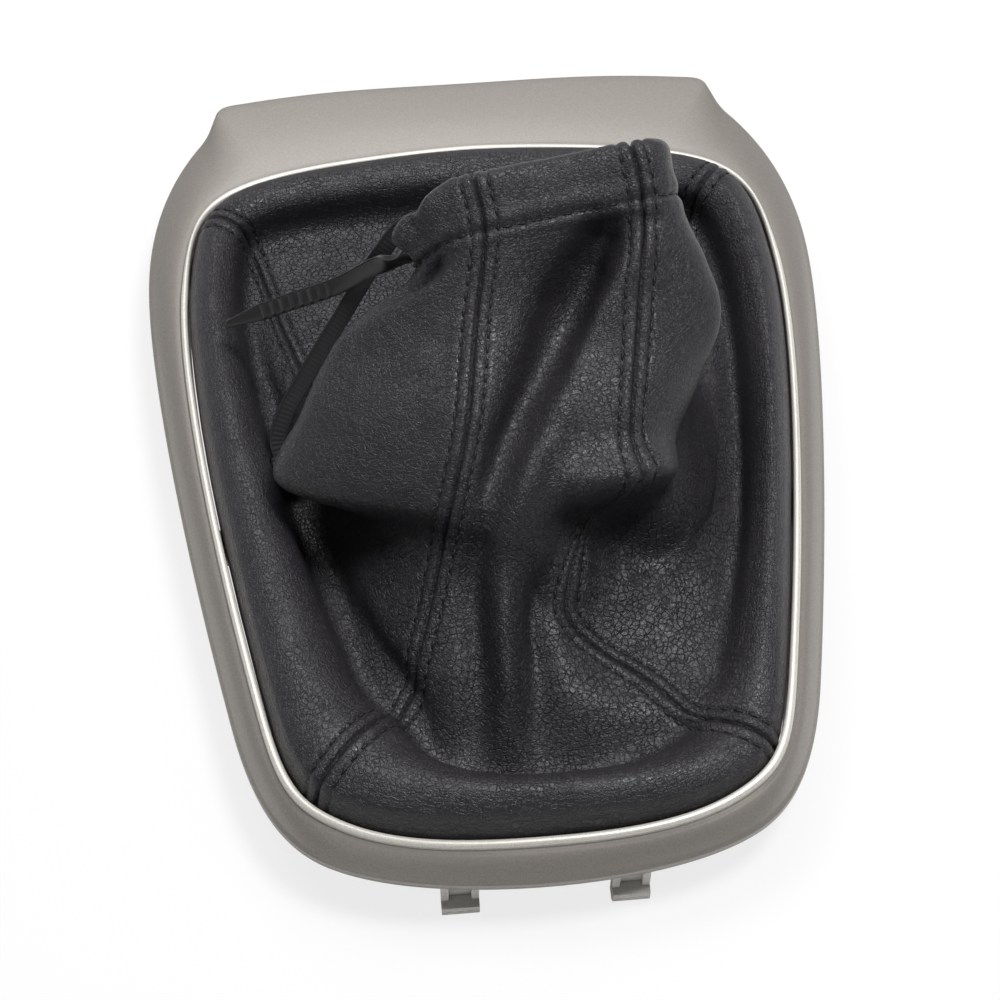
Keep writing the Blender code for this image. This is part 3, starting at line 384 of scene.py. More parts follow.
def along_rows(rows, v):
    """Points between the rows, at heights v measured along the leather."""
    steps = np.diff(rows, axis=0)
    spans = np.sqrt(np.linalg.norm(steps, axis=2, keepdims=True))
    ahead = steps / spans
    slopes = np.empty_like(rows)
    slopes[0], slopes[-1] = ahead[0], ahead[-1]
    before, after = spans[:-1], spans[1:]
    slopes[1:-1] = (ahead[:-1] * after + ahead[1:] * before) / (before + after)
    i = np.clip(np.searchsorted(HEIGHTS, v, side="right") - 1, 0, len(steps) - 1)
    t = ((v - HEIGHTS[i]) / (HEIGHTS[i + 1] - HEIGHTS[i]))[:, None, None]
    return hermite(t, spans[i], rows[i], slopes[i], rows[i + 1], slopes[i + 1])


HEIGHTS = row_heights()


def lattice_noise(points, size, seed):
    """Smooth seeded noise from about -1 to 1 whose bumps are about that many millimetres."""
    rng = np.random.default_rng(seed)
    table = rng.uniform(-1, 1, 4096)
    q = points / size
    cell = np.floor(q).astype(np.int64)
    f = q - cell
    f = f * f * (3 - 2 * f)
    total = 0.0
    for corner in range(8):
        offset = np.array([(corner >> axis) & 1 for axis in range(3)])
        key = cell + offset
        hashed = (key[..., 0] * 73856093 ^ key[..., 1] * 19349663 ^ key[..., 2] * 83492791) % 4096
        weight = np.prod(np.where(offset, f, 1 - f), axis=-1)
        total = total + table[hashed] * weight
    return total


def link(name, mesh):
    obj = bpy.data.objects.new(name, mesh)
    bpy.context.collection.objects.link(obj)
    return obj


# How strong the grain is, as heights and strengths
GRAIN_BY_HEIGHT = ((0, 26, 34, 50, 80, 95, 150, 200), (0.55, 0.6, 0.85, 1.0, 1.0, 0.75, 0.65, 0.65))


def grid_mesh(name, points, drop_cells=None, close=False, marks=()):
    """A grid whose vertices are moved to points, given as (rows, columns, 3) in millimetres.
    Marks are (name, value of each vertex) pairs that the materials read."""
    rows, columns = points.shape[:2]
    bm = bmesh.new()
    bmesh.ops.create_grid(bm, x_segments=columns - 1, y_segments=rows - 1, size=1)
    places = np.array([v.co[:2] for v in bm.verts])
    across = np.rint((places[:, 0] + 1) / 2 * (columns - 1)).astype(int)
    up = np.rint((places[:, 1] + 1) / 2 * (rows - 1)).astype(int)
    if drop_cells is not None:
        gone = []
        for face in bm.faces:
            centre = face.calc_center_median()
            i = int((centre.x + 1) / 2 * (columns - 1))
            j = int((centre.y + 1) / 2 * (rows - 1))
            if drop_cells[j, i]:
                gone.append(face)
    layers = [(bm.verts.layers.float.new(mark), values) for mark, values in marks]
    for vert, i, j in zip(bm.verts, across, up):
        vert.co = points[j, i] * MM
        for layer, values in layers:
            vert[layer] = values[j, i]
    if drop_cells is not None:
        bmesh.ops.delete(bm, geom=gone, context="FACES")
    if close:
        bmesh.ops.remove_doubles(bm, verts=bm.verts[:], dist=1e-6)
    mesh = bpy.data.meshes.new(name)
    bm.to_mesh(mesh)
    bm.free()
    mesh.shade_smooth()
    return mesh


# Distances of the columns beside a seam, close together where its section turns sharply
SEAM_COLUMNS = (-0.12, 0.15, 0.4, 0.7, 1.1, 1.55, 2.0, 2.35, 2.55, 2.7, 2.85, 3.1, 3.5, 4.1, 5.0)
STITCH_COLUMN = SEAM_COLUMNS.index(SEAM_TO_STITCH)


def panel_rows():
    """Heights of the rows of a leather panel, closer together above the bolster."""
    stops = (0, HEIGHTS[6], HEIGHTS[LIP_ROWS] - 4, HEIGHTS[HEM_ROW] - 4, HEIGHTS[HEM_ROW + 3], HEIGHTS[-1])
    bands = zip(stops, stops[1:], PANEL_BANDS)
    parts = [np.linspace(a, b, n, endpoint=False) for a, b, n in bands]
    return np.concatenate(parts + [[stops[-1]]])


def fold_rise(line, v, speed):
    """How far the folds lift the leather. Speed is millimetres of leather for one line."""
    rise = np.zeros_like(line)
    height = v[:, None] + 0 * line
    for width, path in FOLDS:
        nearest = np.full(line.shape, np.inf)
        lift = np.zeros_like(line)
        for (a_line, a_height, a_lift), (b_line, b_height, b_lift) in zip(path, path[1:]):
            ax = ((line - a_line + LINES / 2) % LINES - LINES / 2) * speed
            ay = height - a_height
            bx, by = (b_line - a_line) * speed, b_height - a_height
            t = np.clip((ax * bx + ay * by) / (bx * bx + by * by), 0, 1)
            apart = np.hypot(ax - t * bx, ay - t * by)
            closer = apart < nearest
            nearest = np.where(closer, apart, nearest)
            lift = np.where(closer, a_lift + t * (b_lift - a_lift), lift)
        rise += lift * np.exp(-((nearest / width) ** 2))
    return rise


def seam_profile(d, along):
    """The sewn edge across the seam at distance d from it, with its pull at each stitch."""
    pull = 0.5 + 0.5 * np.cos(2 * np.pi * along / STITCH_PITCH)
    turned = -0.95 * np.exp(-((d / 0.34) ** 2))
    ridge = 0.28 * np.exp(-(((d - 1.35) / 0.8) ** 2)) * (1 - 0.35 * (1 - pull))
    row = -0.34 * np.exp(-(((d - SEAM_TO_STITCH) / 0.32) ** 2)) * (1 - 0.5 * pull)
    puff = 0.14 * np.exp(-(((d - 3.9) / 0.9) ** 2)) * (1 - 0.4 * (1 - pull))
    return turned + ridge + row + puff


def hem_profile(above, along):
    """The sewn hem line round the neck: a groove with gathers on both sides."""
    gather = 0.5 + 0.5 * np.cos(2 * np.pi * along / STITCH_PITCH)
    groove = -0.6 * np.exp(-((above / 0.5) ** 2)) * (1 - 0.35 * gather)
    over = 0.4 * np.exp(-(((above - 1.8) / 1.3) ** 2)) * (0.75 + 0.25 * gather)
    under = 0.3 * np.exp(-(((above + 1.7) / 1.2) ** 2)) * (0.7 + 0.3 * gather)
    return groove + over + under


def wrinkles(points, line, v):
    """Slow waves and fine creases of the leather, weaker on the bolster."""
    free = np.clip((v - HEIGHTS[LIP_ROWS - 1]) / 8, 0.25, 1)[:, None]
    stretch = np.stack((line * 9.0, v[:, None] + 0 * line, 0 * line), axis=-1)
    creases = lattice_noise(stretch * (0.22, 1.0, 1.0), 2.6, 5)
    patches = np.clip(lattice_noise(points, 22.0, 6) + 0.1, 0, 1)
    rise = 0.42 * lattice_noise(points, 15.0, 3) + 0.14 * lattice_noise(points, 5.5, 4)
    return free * (rise + 0.16 * creases * patches)


def make_panel(name, first, columns):
    """One leather panel from its left seam to its right one, and the runs of its stitches."""
    v = panel_rows()
    beyond = 0.0007
    fine = np.concatenate(([first - beyond], np.linspace(first, first + 0.25, 321), [first + 0.25 + beyond]))
    raw = along_rows(gaiter_rows(fine), v)
    steps = np.linalg.norm(np.diff(raw, axis=1), axis=2)
    arc = np.cumsum(steps[:, 1:], axis=1)
    arc = np.concatenate((-steps[:, :1], np.zeros((len(v), 1)), arc), axis=1)
    whole = arc[:, -2:-1]
    ends = np.array(SEAM_COLUMNS)
    points = np.empty((len(v), columns, 3))
    line = np.empty((len(v), columns))
    from_left = np.empty((len(v), columns))
    for j, run in enumerate(arc):
        middle = np.linspace(ends[-1], run[-2] - ends[-1], columns - 2 * len(ends) + 2)[1:-1]
        at = np.concatenate((ends, middle, run[-2] - ends[::-1]))
        for axis in range(3):
            points[j, :, axis] = np.interp(at, run, raw[j, :, axis])
        line[j] = np.interp(at, run, fine) * LINES
        from_left[j] = at
    to_right = whole - from_left
    normals = grid_normals(points)
    speed = whole / 2
    points = points + normals * fold_rise(line, v, speed)[..., None]
    alongs = []
    for i in (STITCH_COLUMN, columns - 1 - STITCH_COLUMN):
        steps = np.linalg.norm(np.diff(points[:, i], axis=0), axis=1)
        alongs.append(np.concatenate(((0,), np.cumsum(steps)))[:, None])
    normals = grid_normals(points)
    rise = wrinkles(points, line, v)
    rise = rise + seam_profile(from_left, alongs[0]) + seam_profile(to_right, alongs[1])
    rise = rise + hem_profile((v - HEIGHTS[HEM_ROW])[:, None], from_left)
    finished = points + normals * rise[..., None]
    drop = None
    if name == "left_panel":
        drop = np.zeros((len(v) - 1, columns - 1), bool)
        open_rows = v[:-1] >= HEIGHTS[HEM_ROW] + HEM_OPENING_LIFT
        open_columns = from_left[int(np.argmax(open_rows)), :-1] < HEM_OPENING
        drop[np.ix_(open_rows, open_columns)] = True
    grain = np.interp(v, *GRAIN_BY_HEIGHT)[:, None] * np.ones(columns)
    marks = (("grain", grain), ("along", v[:, None] + 0 * line), ("across", line * speed.mean()))
    obj = link(name + "_leather", grid_mesh(name + "_leather", finished, drop, marks=marks))
    thick = obj.modifiers.new("thickness", "SOLIDIFY")
    thick.thickness = LEATHER * MM
    thick.offset = -1
    thick.use_rim = True
    thick.material_offset = 1
    thick.material_offset_rim = 1
    runs = []
    low, high = np.searchsorted(v, (HEIGHTS[7], HEIGHTS[HEM_ROW + 1] + 0.8))
    for i, along in ((STITCH_COLUMN, alongs[0]), (columns - 1 - STITCH_COLUMN, alongs[1])):
        top = high
        if drop is not None and i == STITCH_COLUMN:
            top = int(np.argmax(open_rows))
        runs.append((finished[low:top, i], normals[low:top, i], along[low:top, 0], (0, 0)))
    hem = int(np.argmin(abs(v - HEIGHTS[HEM_ROW])))
    clear = HEM_OPENING if drop is not None else 0.8
    runs.append((finished[hem], normals[hem], from_left[hem], (clear, 0.8)))
    return obj, runs


def grid_normals(points):
    across = np.gradient(points, axis=1)
    up = np.gradient(points, axis=0)
    return unit(np.cross(across, up))


def make_stitches(name, runs):
    """Short rounded threads along each run, half sunk into the leather."""
    bm = bmesh.new()
    half = STITCH_LENGTH / 2
    for points, normals, along, clear in runs:
        first = math.ceil((along[0] + clear[0] + half) / STITCH_PITCH - 0.5) + 0.5
        for at in np.arange(first * STITCH_PITCH, along[-1] - clear[1] - half, STITCH_PITCH):
            spots = [np.array([np.interp(a, along, points[:, k]) for k in range(3)])
                     for a in (at - half, at, at + half)]
            face = unit(np.array([np.interp(at, along, normals[:, k]) for k in range(3)]))
            way = unit(spots[2] - spots[0])
            side = unit(np.cross(face, way))
            face = np.cross(way, side)
            turn = Matrix(np.column_stack((way, side, face)).tolist()).to_4x4()
            seat = Matrix.Translation(Vector((spots[1] + face * 0.14) * MM)) @ turn
            size = Matrix.Diagonal((half * MM, STITCH_WIDTH / 2 * MM, STITCH_WIDTH / 2 * MM, 1))
            bmesh.ops.create_icosphere(bm, subdivisions=1, radius=1, matrix=seat @ size)
    mesh = bpy.data.meshes.new(name)
    bm.to_mesh(mesh)
    bm.free()
    mesh.shade_smooth()
    return link(name, mesh)


def flange_section(width, drop):
    """The surround's section as (out from the lip line, height above the lip)."""
    bead = LIP_BEAD_RADIUS
    foot, foot_z = bead + 0.25, -bead - BEAD_FOOT
    points = [(-bead, WALL_FOOT), (-bead, -bead - 3.0), (-bead, -bead - 1.5)]
    for angle in np.linspace(185, -10, 16):
        a = math.radians(angle)
        points.append((bead * math.cos(a), bead * (math.sin(a) - 1)))
    points += [(bead * 0.99 + 0.02, foot_z + 0.25), (foot, foot_z + 0.05), (foot + 0.25, foot_z)]
    reach = width - EDGE_ROUND
    for share in np.linspace(0.08, 1.0, 14):
        along = foot + (reach - foot) * share
        points.append((along, foot_z - (drop + foot_z) * share**FLANGE_CURVE))
    slope = math.atan2(FLANGE_CURVE * (drop + foot_z), reach - foot)
    for angle in np.linspace(math.pi / 2 - slope, 0, 6)[1:]:
        below = -drop - EDGE_ROUND + EDGE_ROUND * math.sin(angle)
        points.append((reach + EDGE_ROUND * math.cos(angle), below))
    rim_in = width - 1.5
    points += [
        (width, -drop - 1.9), (width - 0.1, -drop - 2.0),
        (width - 1.2, -drop - 2.0), (width - 1.3, -drop - 1.9),
        (rim_in, -drop - 1.7), (0.5 * (rim_in + WALL_OUT), -0.62 * drop - 2.4),
        (WALL_OUT + 0.2, foot_z - 2.5), (WALL_OUT, WALL_FOOT + 0.1),
        (WALL_OUT - 0.1, WALL_FOOT), (-bead + 0.1, WALL_FOOT),
    ]
    return points


def make_surround():
    """The flange's section drawn round the opening, with the surround's edge at each place."""
    places = []
    for i, steps in enumerate(EDGE_STEPS):
        places += [i + j / steps for j in range(steps)]
    last = len(EDGE_KNOTS) - 1
    turns = places + [float(last)] + [-q for q in reversed(places[1:])] + [0.0]
    sections = []
    for turn in turns:
        q = abs(turn)
        side = 1 if turn >= 0 else -1
        lip = bezier_half(LIP_KNOTS, np.interp(q, range(last + 1), EDGE_TO_LIP))
        edge = bezier_half(EDGE_KNOTS, q)
        drop = np.interp(q, range(last + 1), EDGE_DROPS)
        out = unit(edge - lip)
        width = float(np.linalg.norm(edge - lip))
        section = []
        for a, z in flange_section(width, drop):
            x, y = lip + out * a
            section.append((side * x, y, LIP_TOP_Z + z))
        sections.append(section + section[:1])
    obj = link("surround", grid_mesh("surround", np.array(sections)[:, ::-1], close=True))
    obj.data.set_sharp_from_angle(angle=math.radians(50))
    return obj


def prism(bm, outline, width, seat):
    """A block: a flat outline of (out, up) pairs, drawn out across to both sides of its seat."""
    across, out, up, origin = seat
    base = []
    for a, b in outline:
        base.append(bm.verts.new(Vector((origin + out * a + up * b - across * width / 2) * MM)))
    face = bm.faces.new(base)
    made = bmesh.ops.extrude_face_region(bm, geom=[face])["geom"]
    moved = [g for g in made if isinstance(g, bmesh.types.BMVert)]
    bmesh.ops.translate(bm, vec=Vector(across * width * MM), verts=moved)


def finish_prisms(name, bm, edge):
    """Rounds the edges of loose blocks and turns their faces outwards."""
    bmesh.ops.recalc_face_normals(bm, faces=bm.faces[:])
    sharp = [e for e in bm.edges if e.calc_face_angle(0) > 0.5]
    bmesh.ops.bevel(bm, geom=sharp, offset=edge * MM, segments=2, profile=0.5, affect="EDGES", material=-1)
    bmesh.ops.recalc_face_normals(bm, faces=bm.faces[:])
    mesh = bpy.data.meshes.new(name)
    bm.to_mesh(mesh)
    bm.free()
    mesh.shade_smooth()
    mesh.set_sharp_from_angle(angle=math.radians(35))
    return link(name, mesh)


def make_clips():
    """Four mounting clips: a web between two ribs, above a block with three lumps on its face."""
    bm = bmesh.new()
    rib_middle = (CLIP_BLOCK - CLIP_RIB) / 2
    for x, outer_y, facing, edge_z in CLIPS:
        across, out, up = (np.array(way, float) for way in ((1, 0, 0), (0, facing, 0), (0, 0, 1)))
        top = edge_z - 0.3
        for side in (-1, 1):
            centre = np.array((side * x, outer_y - facing * 2.0, 0.0))
            seat = (across, out, up, centre)
            prism(bm, ((-2.2, 4.2), (-1.1, 4.2), (-1.1, top), (-2.2, top)), CLIP_WEB, seat)
            for rib in (-rib_middle, rib_middle):
                beside = (across, out, up, centre + across * rib)
                prism(bm, ((-2.2, 4.0), (0.0, 4.0), (0.0, top), (-2.2, top)), CLIP_RIB, beside)
            prism(bm, ((-2.2, 0.0), (0.4, 0.0), (1.5, 1.6), (1.5, 2.3), (-2.2, 2.3)), CLIP_BLOCK, seat)
            prism(bm, ((-2.2, 2.1), (1.5, 2.3), (1.5, 4.2), (0.0, 4.6), (-2.2, 4.6)), CLIP_BLOCK, seat)
            for lump in CLIP_LUMPS:
                beside = (across, out, up, centre + across * lump)
                prism(bm, ((1.0, 2.0), (1.62, 2.15), (1.62, 2.75), (1.0, 2.9)), 1.0, beside)
    return finish_prisms("mounting_clips", bm, 0.16)


def make_hooks():
    """The hooks below the surround's wall that hold the wrapped frame."""
    bm = bmesh.new()
    for place in HOOK_PLACES:
        for side in (-1, 1):
            point, normal, tangent = lip_frame(side * place)
            seat = (np.array((*tangent, 0.0)), np.array((*normal, 0.0)), np.array((0.0, 0.0, 1.0)),
                    np.array((*point, LIP_TOP_Z)))
            prism(bm, HOOK_OUTLINE, HOOK_WIDTH, seat)
    return finish_prisms("frame_hooks", bm, 0.2)


def leather_point(u, v):
    """A point and the outward normal of the folded leather, without its seams and wrinkles."""
    nudge = 1e-3
    rows = gaiter_rows(np.array((u, u - nudge, u + nudge)))
    low, middle, high = (along_rows(rows, np.array([v + d])) for d in (-0.05, 0, 0.05))
    normal = unit(np.cross(middle[0, 2] - middle[0, 1], high[0, 0] - low[0, 0]))
    speed = np.linalg.norm(middle[0, 2] - middle[0, 1]) / (2 * LINES * nudge)
    rise = fold_rise(np.array([[u * LINES % LINES]]), np.array([v]), speed)
    return middle[0, 0] + normal * rise[0, 0], normal


def tie_route():
    """Centre line and outer side of the cable tie from its tip, through the hem, to its head."""
    start, end = TIE_LOOP
    loop, faces = [], []
    for t in np.linspace(0, 1, 45):
        level = HEIGHTS[HEM_ROW] + TIE_LEVELS[0] + (TIE_LEVELS[1] - TIE_LEVELS[0]) * t
        point, normal = leather_point(start + (end + 1.0 - start) * t, level)
        loop.append(point - normal * (LEATHER + HEM_CHANNEL / 2))
        faces.append(normal)
    points = np.concatenate((TIE_TAIL, loop, TIE_RUN))
    sides = np.concatenate((np.tile(TIE_TAIL_FACE, (len(TIE_TAIL), 1)), faces,
                            np.tile(TIE_RUN_FACE, (len(TIE_RUN), 1))))
    along = np.concatenate(((0.0,), np.cumsum(np.linalg.norm(np.diff(points, axis=0), axis=1))))
    return along, points, unit(sides)


def make_tie():
    """The strap, from its tapered and ribbed tail to the toothed part, and the head at its end."""
    along, points, sides = tie_route()
    length = along[-1]
    stations = np.arange(0, length - 0.4, TIE_TOOTH / 4)
    centres = spline(along, points, stations)
    faces = unit(spline(along, sides, stations))
    ways = unit(spline(along, points, np.minimum(stations + 0.3, length))
                - spline(along, points, np.maximum(stations - 0.3, 0)))
    across = unit(np.cross(ways, faces))
    faces = np.cross(across, ways)
    half = TIE_WIDTH / 2 * np.clip(0.42 + 0.58 * stations / TIE_TAPER, 0, 1)
    tip = np.clip(stations / 1.2, 0, 1) ** 0.5
    half = half * (0.55 + 0.45 * tip)
    tooth = (np.arange(len(stations)) % 4) / 3.0
    teeth = np.where(stations > TIE_TEETH_FROM, 0.19 + 0.07 * tooth, 0.25)
    rib = np.zeros(len(stations))
    for i in range(TIE_RIBS):
        rib += 0.3 * np.exp(-(((stations - TIE_FIRST_RIB - i * TIE_RIB_PITCH) / 0.26) ** 2))
    thick = TIE_THICK * (0.6 + 0.4 * np.clip(stations / 3, 0, 1))
    rows = []
    for i in range(len(stations)):
        w, t = half[i], thick[i] / 2
        rail = min(0.5, w * 0.35)
        floor = -t + teeth[i]
        section = (
            (w - 0.3, t - 0.1), (w - 0.45, t + rib[i] * 0.8), (0, t + rib[i]), (-w + 0.45, t + rib[i] * 0.8),
            (-w + 0.3, t - 0.1), (-w + 0.12, t), (-w, t - 0.15), (-w, -t + 0.12), (-w + 0.1, -t),
            (-w + rail - 0.05, -t), (-w + rail, floor), (w - rail, floor), (w - rail + 0.05, -t),
            (w - 0.1, -t), (w, -t + 0.12), (w, t - 0.15), (w - 0.12, t),
        )
        rows.append([centres[i] + across[i] * a + faces[i] * b for a, b in section + section[:1]])
    strap = grid_mesh("cable_tie_strap", np.array(rows)[:, ::-1], close=True)
    strap.set_sharp_from_angle(angle=math.radians(35))
    bm = bmesh.new()
    bm.from_mesh(strap)
    bmesh.ops.holes_fill(bm, edges=[e for e in bm.edges if e.is_boundary])
    bmesh.ops.recalc_face_normals(bm, faces=bm.faces[:])
    bm.to_mesh(strap)
    bm.free()
    strap_obj = link("cable_tie_strap", strap)
    bm = bmesh.new()
    way, side, face = ways[-1], across[-1], faces[-1]
    origin = centres[-1] + way * 1.9 - face * 0.9
    head_width, head_high = TIE_HEAD
    corners = ((-1, -1), (1, -1), (1, 1), (-1, 1))
    for offset, deep in ((-2.35, 1.1), (2.0, 1.8)):
        seat = (side, way, face, origin + way * offset)
        prism(bm, [(a * deep / 2, b * head_high / 2) for a, b in corners], head_width, seat)
    for edge in (-1, 1):
        seat = (side, way, face, origin + side * edge * 2.375)
        prism(bm, [(a * 2.9, b * head_high / 2) for a, b in corners], 0.85, seat)
    prism(bm, ((-1.9, -0.4), (0.9, 0.6), (0.9, 1.3), (-1.9, 0.6)), 3.4, (side, way, face, origin))
    head = finish_prisms("cable_tie_head", bm, 0.3)
    return strap_obj, head


def shader_material(name):
    mat = bpy.data.materials.new(name)
    mat.use_nodes = True
    tree = mat.node_tree
    return mat, tree, tree.nodes["Principled BSDF"]


def node(tree, kind, **inputs):
    made = tree.nodes.new(kind)
    for key, value in inputs.items():
        made.inputs[key.replace("_", " ")].default_value = value
    return made


def joined(tree, *pairs):
    for source, target in pairs:
        tree.links.new(source, target)


def maths(tree, operation, first, second=0.0, third=0.0):
    """A maths node whose inputs are sockets or plain numbers."""
    made = tree.nodes.new("ShaderNodeMath")
    made.operation = operation
    for slot, value in zip(made.inputs, (first, second, third)):
        if isinstance(value, (int, float)):
            slot.default_value = value
        else:
            tree.links.new(value, slot)
    return made.outputs[0]


def attribute(tree, name):
    made = tree.nodes.new("ShaderNodeAttribute")
    made.attribute_name = name
    return made.outputs["Fac"]


def two_tones(tree, colour, shares, factor):
    """The base colour runs between two shares of a colour."""
    tint = tree.nodes.new("ShaderNodeMix")
    tint.data_type = "RGBA"
    for end, share in zip("AB", shares):
        tint.inputs[end].default_value = (*[c * share for c in colour], 1)
    shader = tree.nodes["Principled BSDF"]
    joined(tree, (factor, tint.inputs["Factor"]), (tint.outputs["Result"], shader.inputs["Base Color"]))


def raised(tree, height, strength, distance):
    bump = node(tree, "ShaderNodeBump", Strength=strength, Distance=distance)
    shader = tree.nodes["Principled BSDF"]
    joined(tree, (height, bump.inputs["Height"]), (bump.outputs["Normal"], shader.inputs["Normal"]))


def rough_skin(tree, texture, height, strength, distance):
    """Places a texture by the object's own coordinates and raises the surface by it."""
    place = node(tree, "ShaderNodeTexCoord").outputs["Object"]
    tree.links.new(place, texture.inputs["Vector"])
    raised(tree, height, strength, distance)


def cracks(tree, vector, scale, width):
    """Pebbles with narrow valleys between them: 0 in a valley and 1 on a pebble."""
    cells = node(tree, "ShaderNodeTexVoronoi", Scale=scale)
    cells.feature = "DISTANCE_TO_EDGE"
    ramp = tree.nodes.new("ShaderNodeMapRange")
    ramp.interpolation_type = "SMOOTHSTEP"
    ramp.inputs["From Max"].default_value = width
    joined(tree, (vector, cells.inputs["Vector"]), (cells.outputs["Distance"], ramp.inputs["Value"]))
    return ramp.outputs["Result"]


def leather_material(name, colour, roughness, relief):
    """Embossed grain: plates low down, drawn out into creases across the leather higher up, with painted
    shade in its valleys.
    """
    mat, tree, shader = shader_material(name)
    place = node(tree, "ShaderNodeTexCoord").outputs["Object"]
    grain = attribute(tree, "grain")
    warp = node(tree, "ShaderNodeTexNoise", Scale=300.0, Detail=5.0, Roughness=0.6)
    tree.links.new(place, warp.inputs["Vector"])
    lines = tree.nodes.new("ShaderNodeCombineXYZ")
    joined(tree, (maths(tree, "MULTIPLY", attribute(tree, "across"), 0.00045), lines.inputs[0]),
           (maths(tree, "MULTIPLY", attribute(tree, "along"), 0.001), lines.inputs[1]))
    shifted = []
    for source, amount in ((place, 0.0022), (lines.outputs[0], 0.0016)):
        made = tree.nodes.new("ShaderNodeVectorMath")
        made.operation = "MULTIPLY_ADD"
        made.inputs[1].default_value = (amount, amount, amount)
        joined(tree, (warp.outputs["Color"], made.inputs[0]), (source, made.inputs[2]))
        shifted.append(made.outputs[0])
    plates = cracks(tree, shifted[0], 780.0, 0.11)
    pebbles = cracks(tree, shifted[0], 1650.0, 0.2)
    creases = cracks(tree, shifted[1], 900.0, 0.11)
    patches = node(tree, "ShaderNodeTexNoise", Scale=170.0, Detail=3.0)
    tree.links.new(place, patches.inputs["Vector"])
    clear = maths(tree, "MULTIPLY_ADD", patches.outputs["Fac"], 1.5, 0.05)
    clear.node.use_clamp = True
    broken = []
    for cells, strength in ((plates, grain), (creases, maths(tree, "MULTIPLY_ADD", grain, -0.55, 0.85))):
        gap = maths(tree, "MULTIPLY", maths(tree, "SUBTRACT", 1.0, cells), strength)
        broken.append(maths(tree, "MULTIPLY", gap, clear))
    gaps = maths(tree, "MAXIMUM", *broken)
    fine = node(tree, "ShaderNodeTexNoise", Scale=3200.0, Detail=3.0)
    tree.links.new(place, fine.inputs["Vector"])
    height = maths(tree, "MULTIPLY_ADD", gaps, -1.0, maths(tree, "MULTIPLY", pebbles, 0.2))
    height = maths(tree, "MULTIPLY_ADD", fine.outputs["Fac"], 0.1, height)
    raised(tree, height, 1.0, relief)
    # Painted shade in the grain's valleys: where the valleys are deep the colour falls to a quarter of the
    # leather's.
    two_tones(tree, colour, (1, 0.25), gaps)
    worn = node(tree, "ShaderNodeTexNoise", Scale=45.0, Detail=4.0)
    tree.links.new(place, worn.inputs["Vector"])
    rough = maths(tree, "MULTIPLY_ADD", worn.outputs["Fac"], 0.16, roughness - 0.08)
    tree.links.new(rough, shader.inputs["Roughness"])
    shader.inputs["Specular IOR Level"].default_value = 0.46
    return mat


def paint_material(name, colour, metallic, roughness, coat):
    """Metal flake paint below a clear coat."""
    mat, tree, shader = shader_material(name)
    flakes = node(tree, "ShaderNodeTexVoronoi", Scale=5200.0)
    two_tones(tree, colour, (0.86, 1.14), flakes.outputs["Color"])
    rough_skin(tree, flakes, flakes.outputs["Distance"], 0.12, 0.00004)
    shader.inputs["Metallic"].default_value = metallic
    shader.inputs["Roughness"].default_value = roughness
    shader.inputs["Coat Weight"].default_value = coat
    shader.inputs["Coat Roughness"].default_value = 0.12
    return mat


def moulded_material(name, colour, roughness):
    """Moulded plastic, thread or the leather's back: a fine speckle in colour and surface."""
    mat, tree, shader = shader_material(name)
    speckle = node(tree, "ShaderNodeTexNoise", Scale=1800.0, Detail=3.0)
    two_tones(tree, colour, (0.8, 1.2), speckle.outputs["Fac"])
    rough_skin(tree, speckle, speckle.outputs["Fac"], 0.2, 0.00005)
    shader.inputs["Roughness"].default_value = roughness
    return mat


leather_face = leather_material("black_leather", (0.0235, 0.0213, 0.0259), 0.37, 0.00017)
leather_back = moulded_material("leather_back", (0.022, 0.021, 0.022), 0.9)
silver = paint_material("silver_paint", (0.3, 0.277, 0.253), 0.4, 0.42, 0.25)
# Painted highlight: the rounded bead is coloured pale cream, far lighter than the flange's paint it belongs
# to.
painted_bead_highlight = paint_material("painted_bead_highlight", (0.68, 0.655, 0.6), 0.2, 0.36, 0.5)
clip_plastic = moulded_material("clip_plastic", (0.6, 0.58, 0.55), 0.45)
black_plastic = moulded_material("black_plastic", (0.025, 0.025, 0.026), 0.5)
nylon = moulded_material("nylon", (0.018, 0.0172, 0.019), 0.4)
thread = moulded_material("thread", (0.006, 0.006, 0.0065), 0.6)

# Each panel's columns, and the leather that it is cut from: width, length and area
PANELS = (
    ("front_panel", 158, (0.094, 0.185), 0.0091), ("right_panel", 166, (0.15, 0.172), 0.0102),
    ("rear_panel", 158, (0.126, 0.165), 0.013), ("left_panel", 166, (0.149, 0.168), 0.011),
)
for index, (panel, columns, flat, area) in enumerate(PANELS):
    piece, runs = make_panel(panel, index / 4, columns)
    piece.data.materials.append(leather_face)
    piece.data.materials.append(leather_back)
    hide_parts(panel)
    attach(piece, "root")
    stitches = make_stitches(panel + "_stitches", runs)
    stitches.data.materials.append(thread)
    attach(stitches, "root")

surround = make_surround()
surround.data.materials.append(silver)
surround.data.materials.append(painted_bead_highlight)
# The faces of the bead's top take the pale material, a painted highlight along the bead.
for face in surround.data.polygons:
    face.material_index = int(face.center.z > (LIP_TOP_Z - LIP_BEAD_RADIUS - 0.3) * MM)
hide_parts("trim_surround")
clips = make_clips()
hooks = make_hooks()
for piece in (clips, hooks):
    piece.data.materials.append(clip_plastic)
for piece in (surround, clips, hooks):
    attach(piece, "root")

strap, head = make_tie()
for piece in (strap, head):
    piece.data.materials.append(nylon)
    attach(piece, "root")
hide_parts("cable_tie")

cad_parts["gaiter_frame"].material_slots[0].material = black_plastic

# Floor, light and camera
WHITE = (1, 1, 1, 1)
FLOOR_WHITE = 0.8  # the share of plain white that the camera sees; the rest keeps the shadow
FLOOR_IN_GLOSS = 0.35


def mixed_surface(tree, output, share, first, second):
    blend = tree.nodes.new("ShaderNodeMixShader")
    joined(tree, (share, blend.inputs[0]), (first.outputs[0], blend.inputs[1]),
           (second.outputs[0], blend.inputs[2]), (blend.outputs[0], tree.nodes[output].inputs["Surface"]))


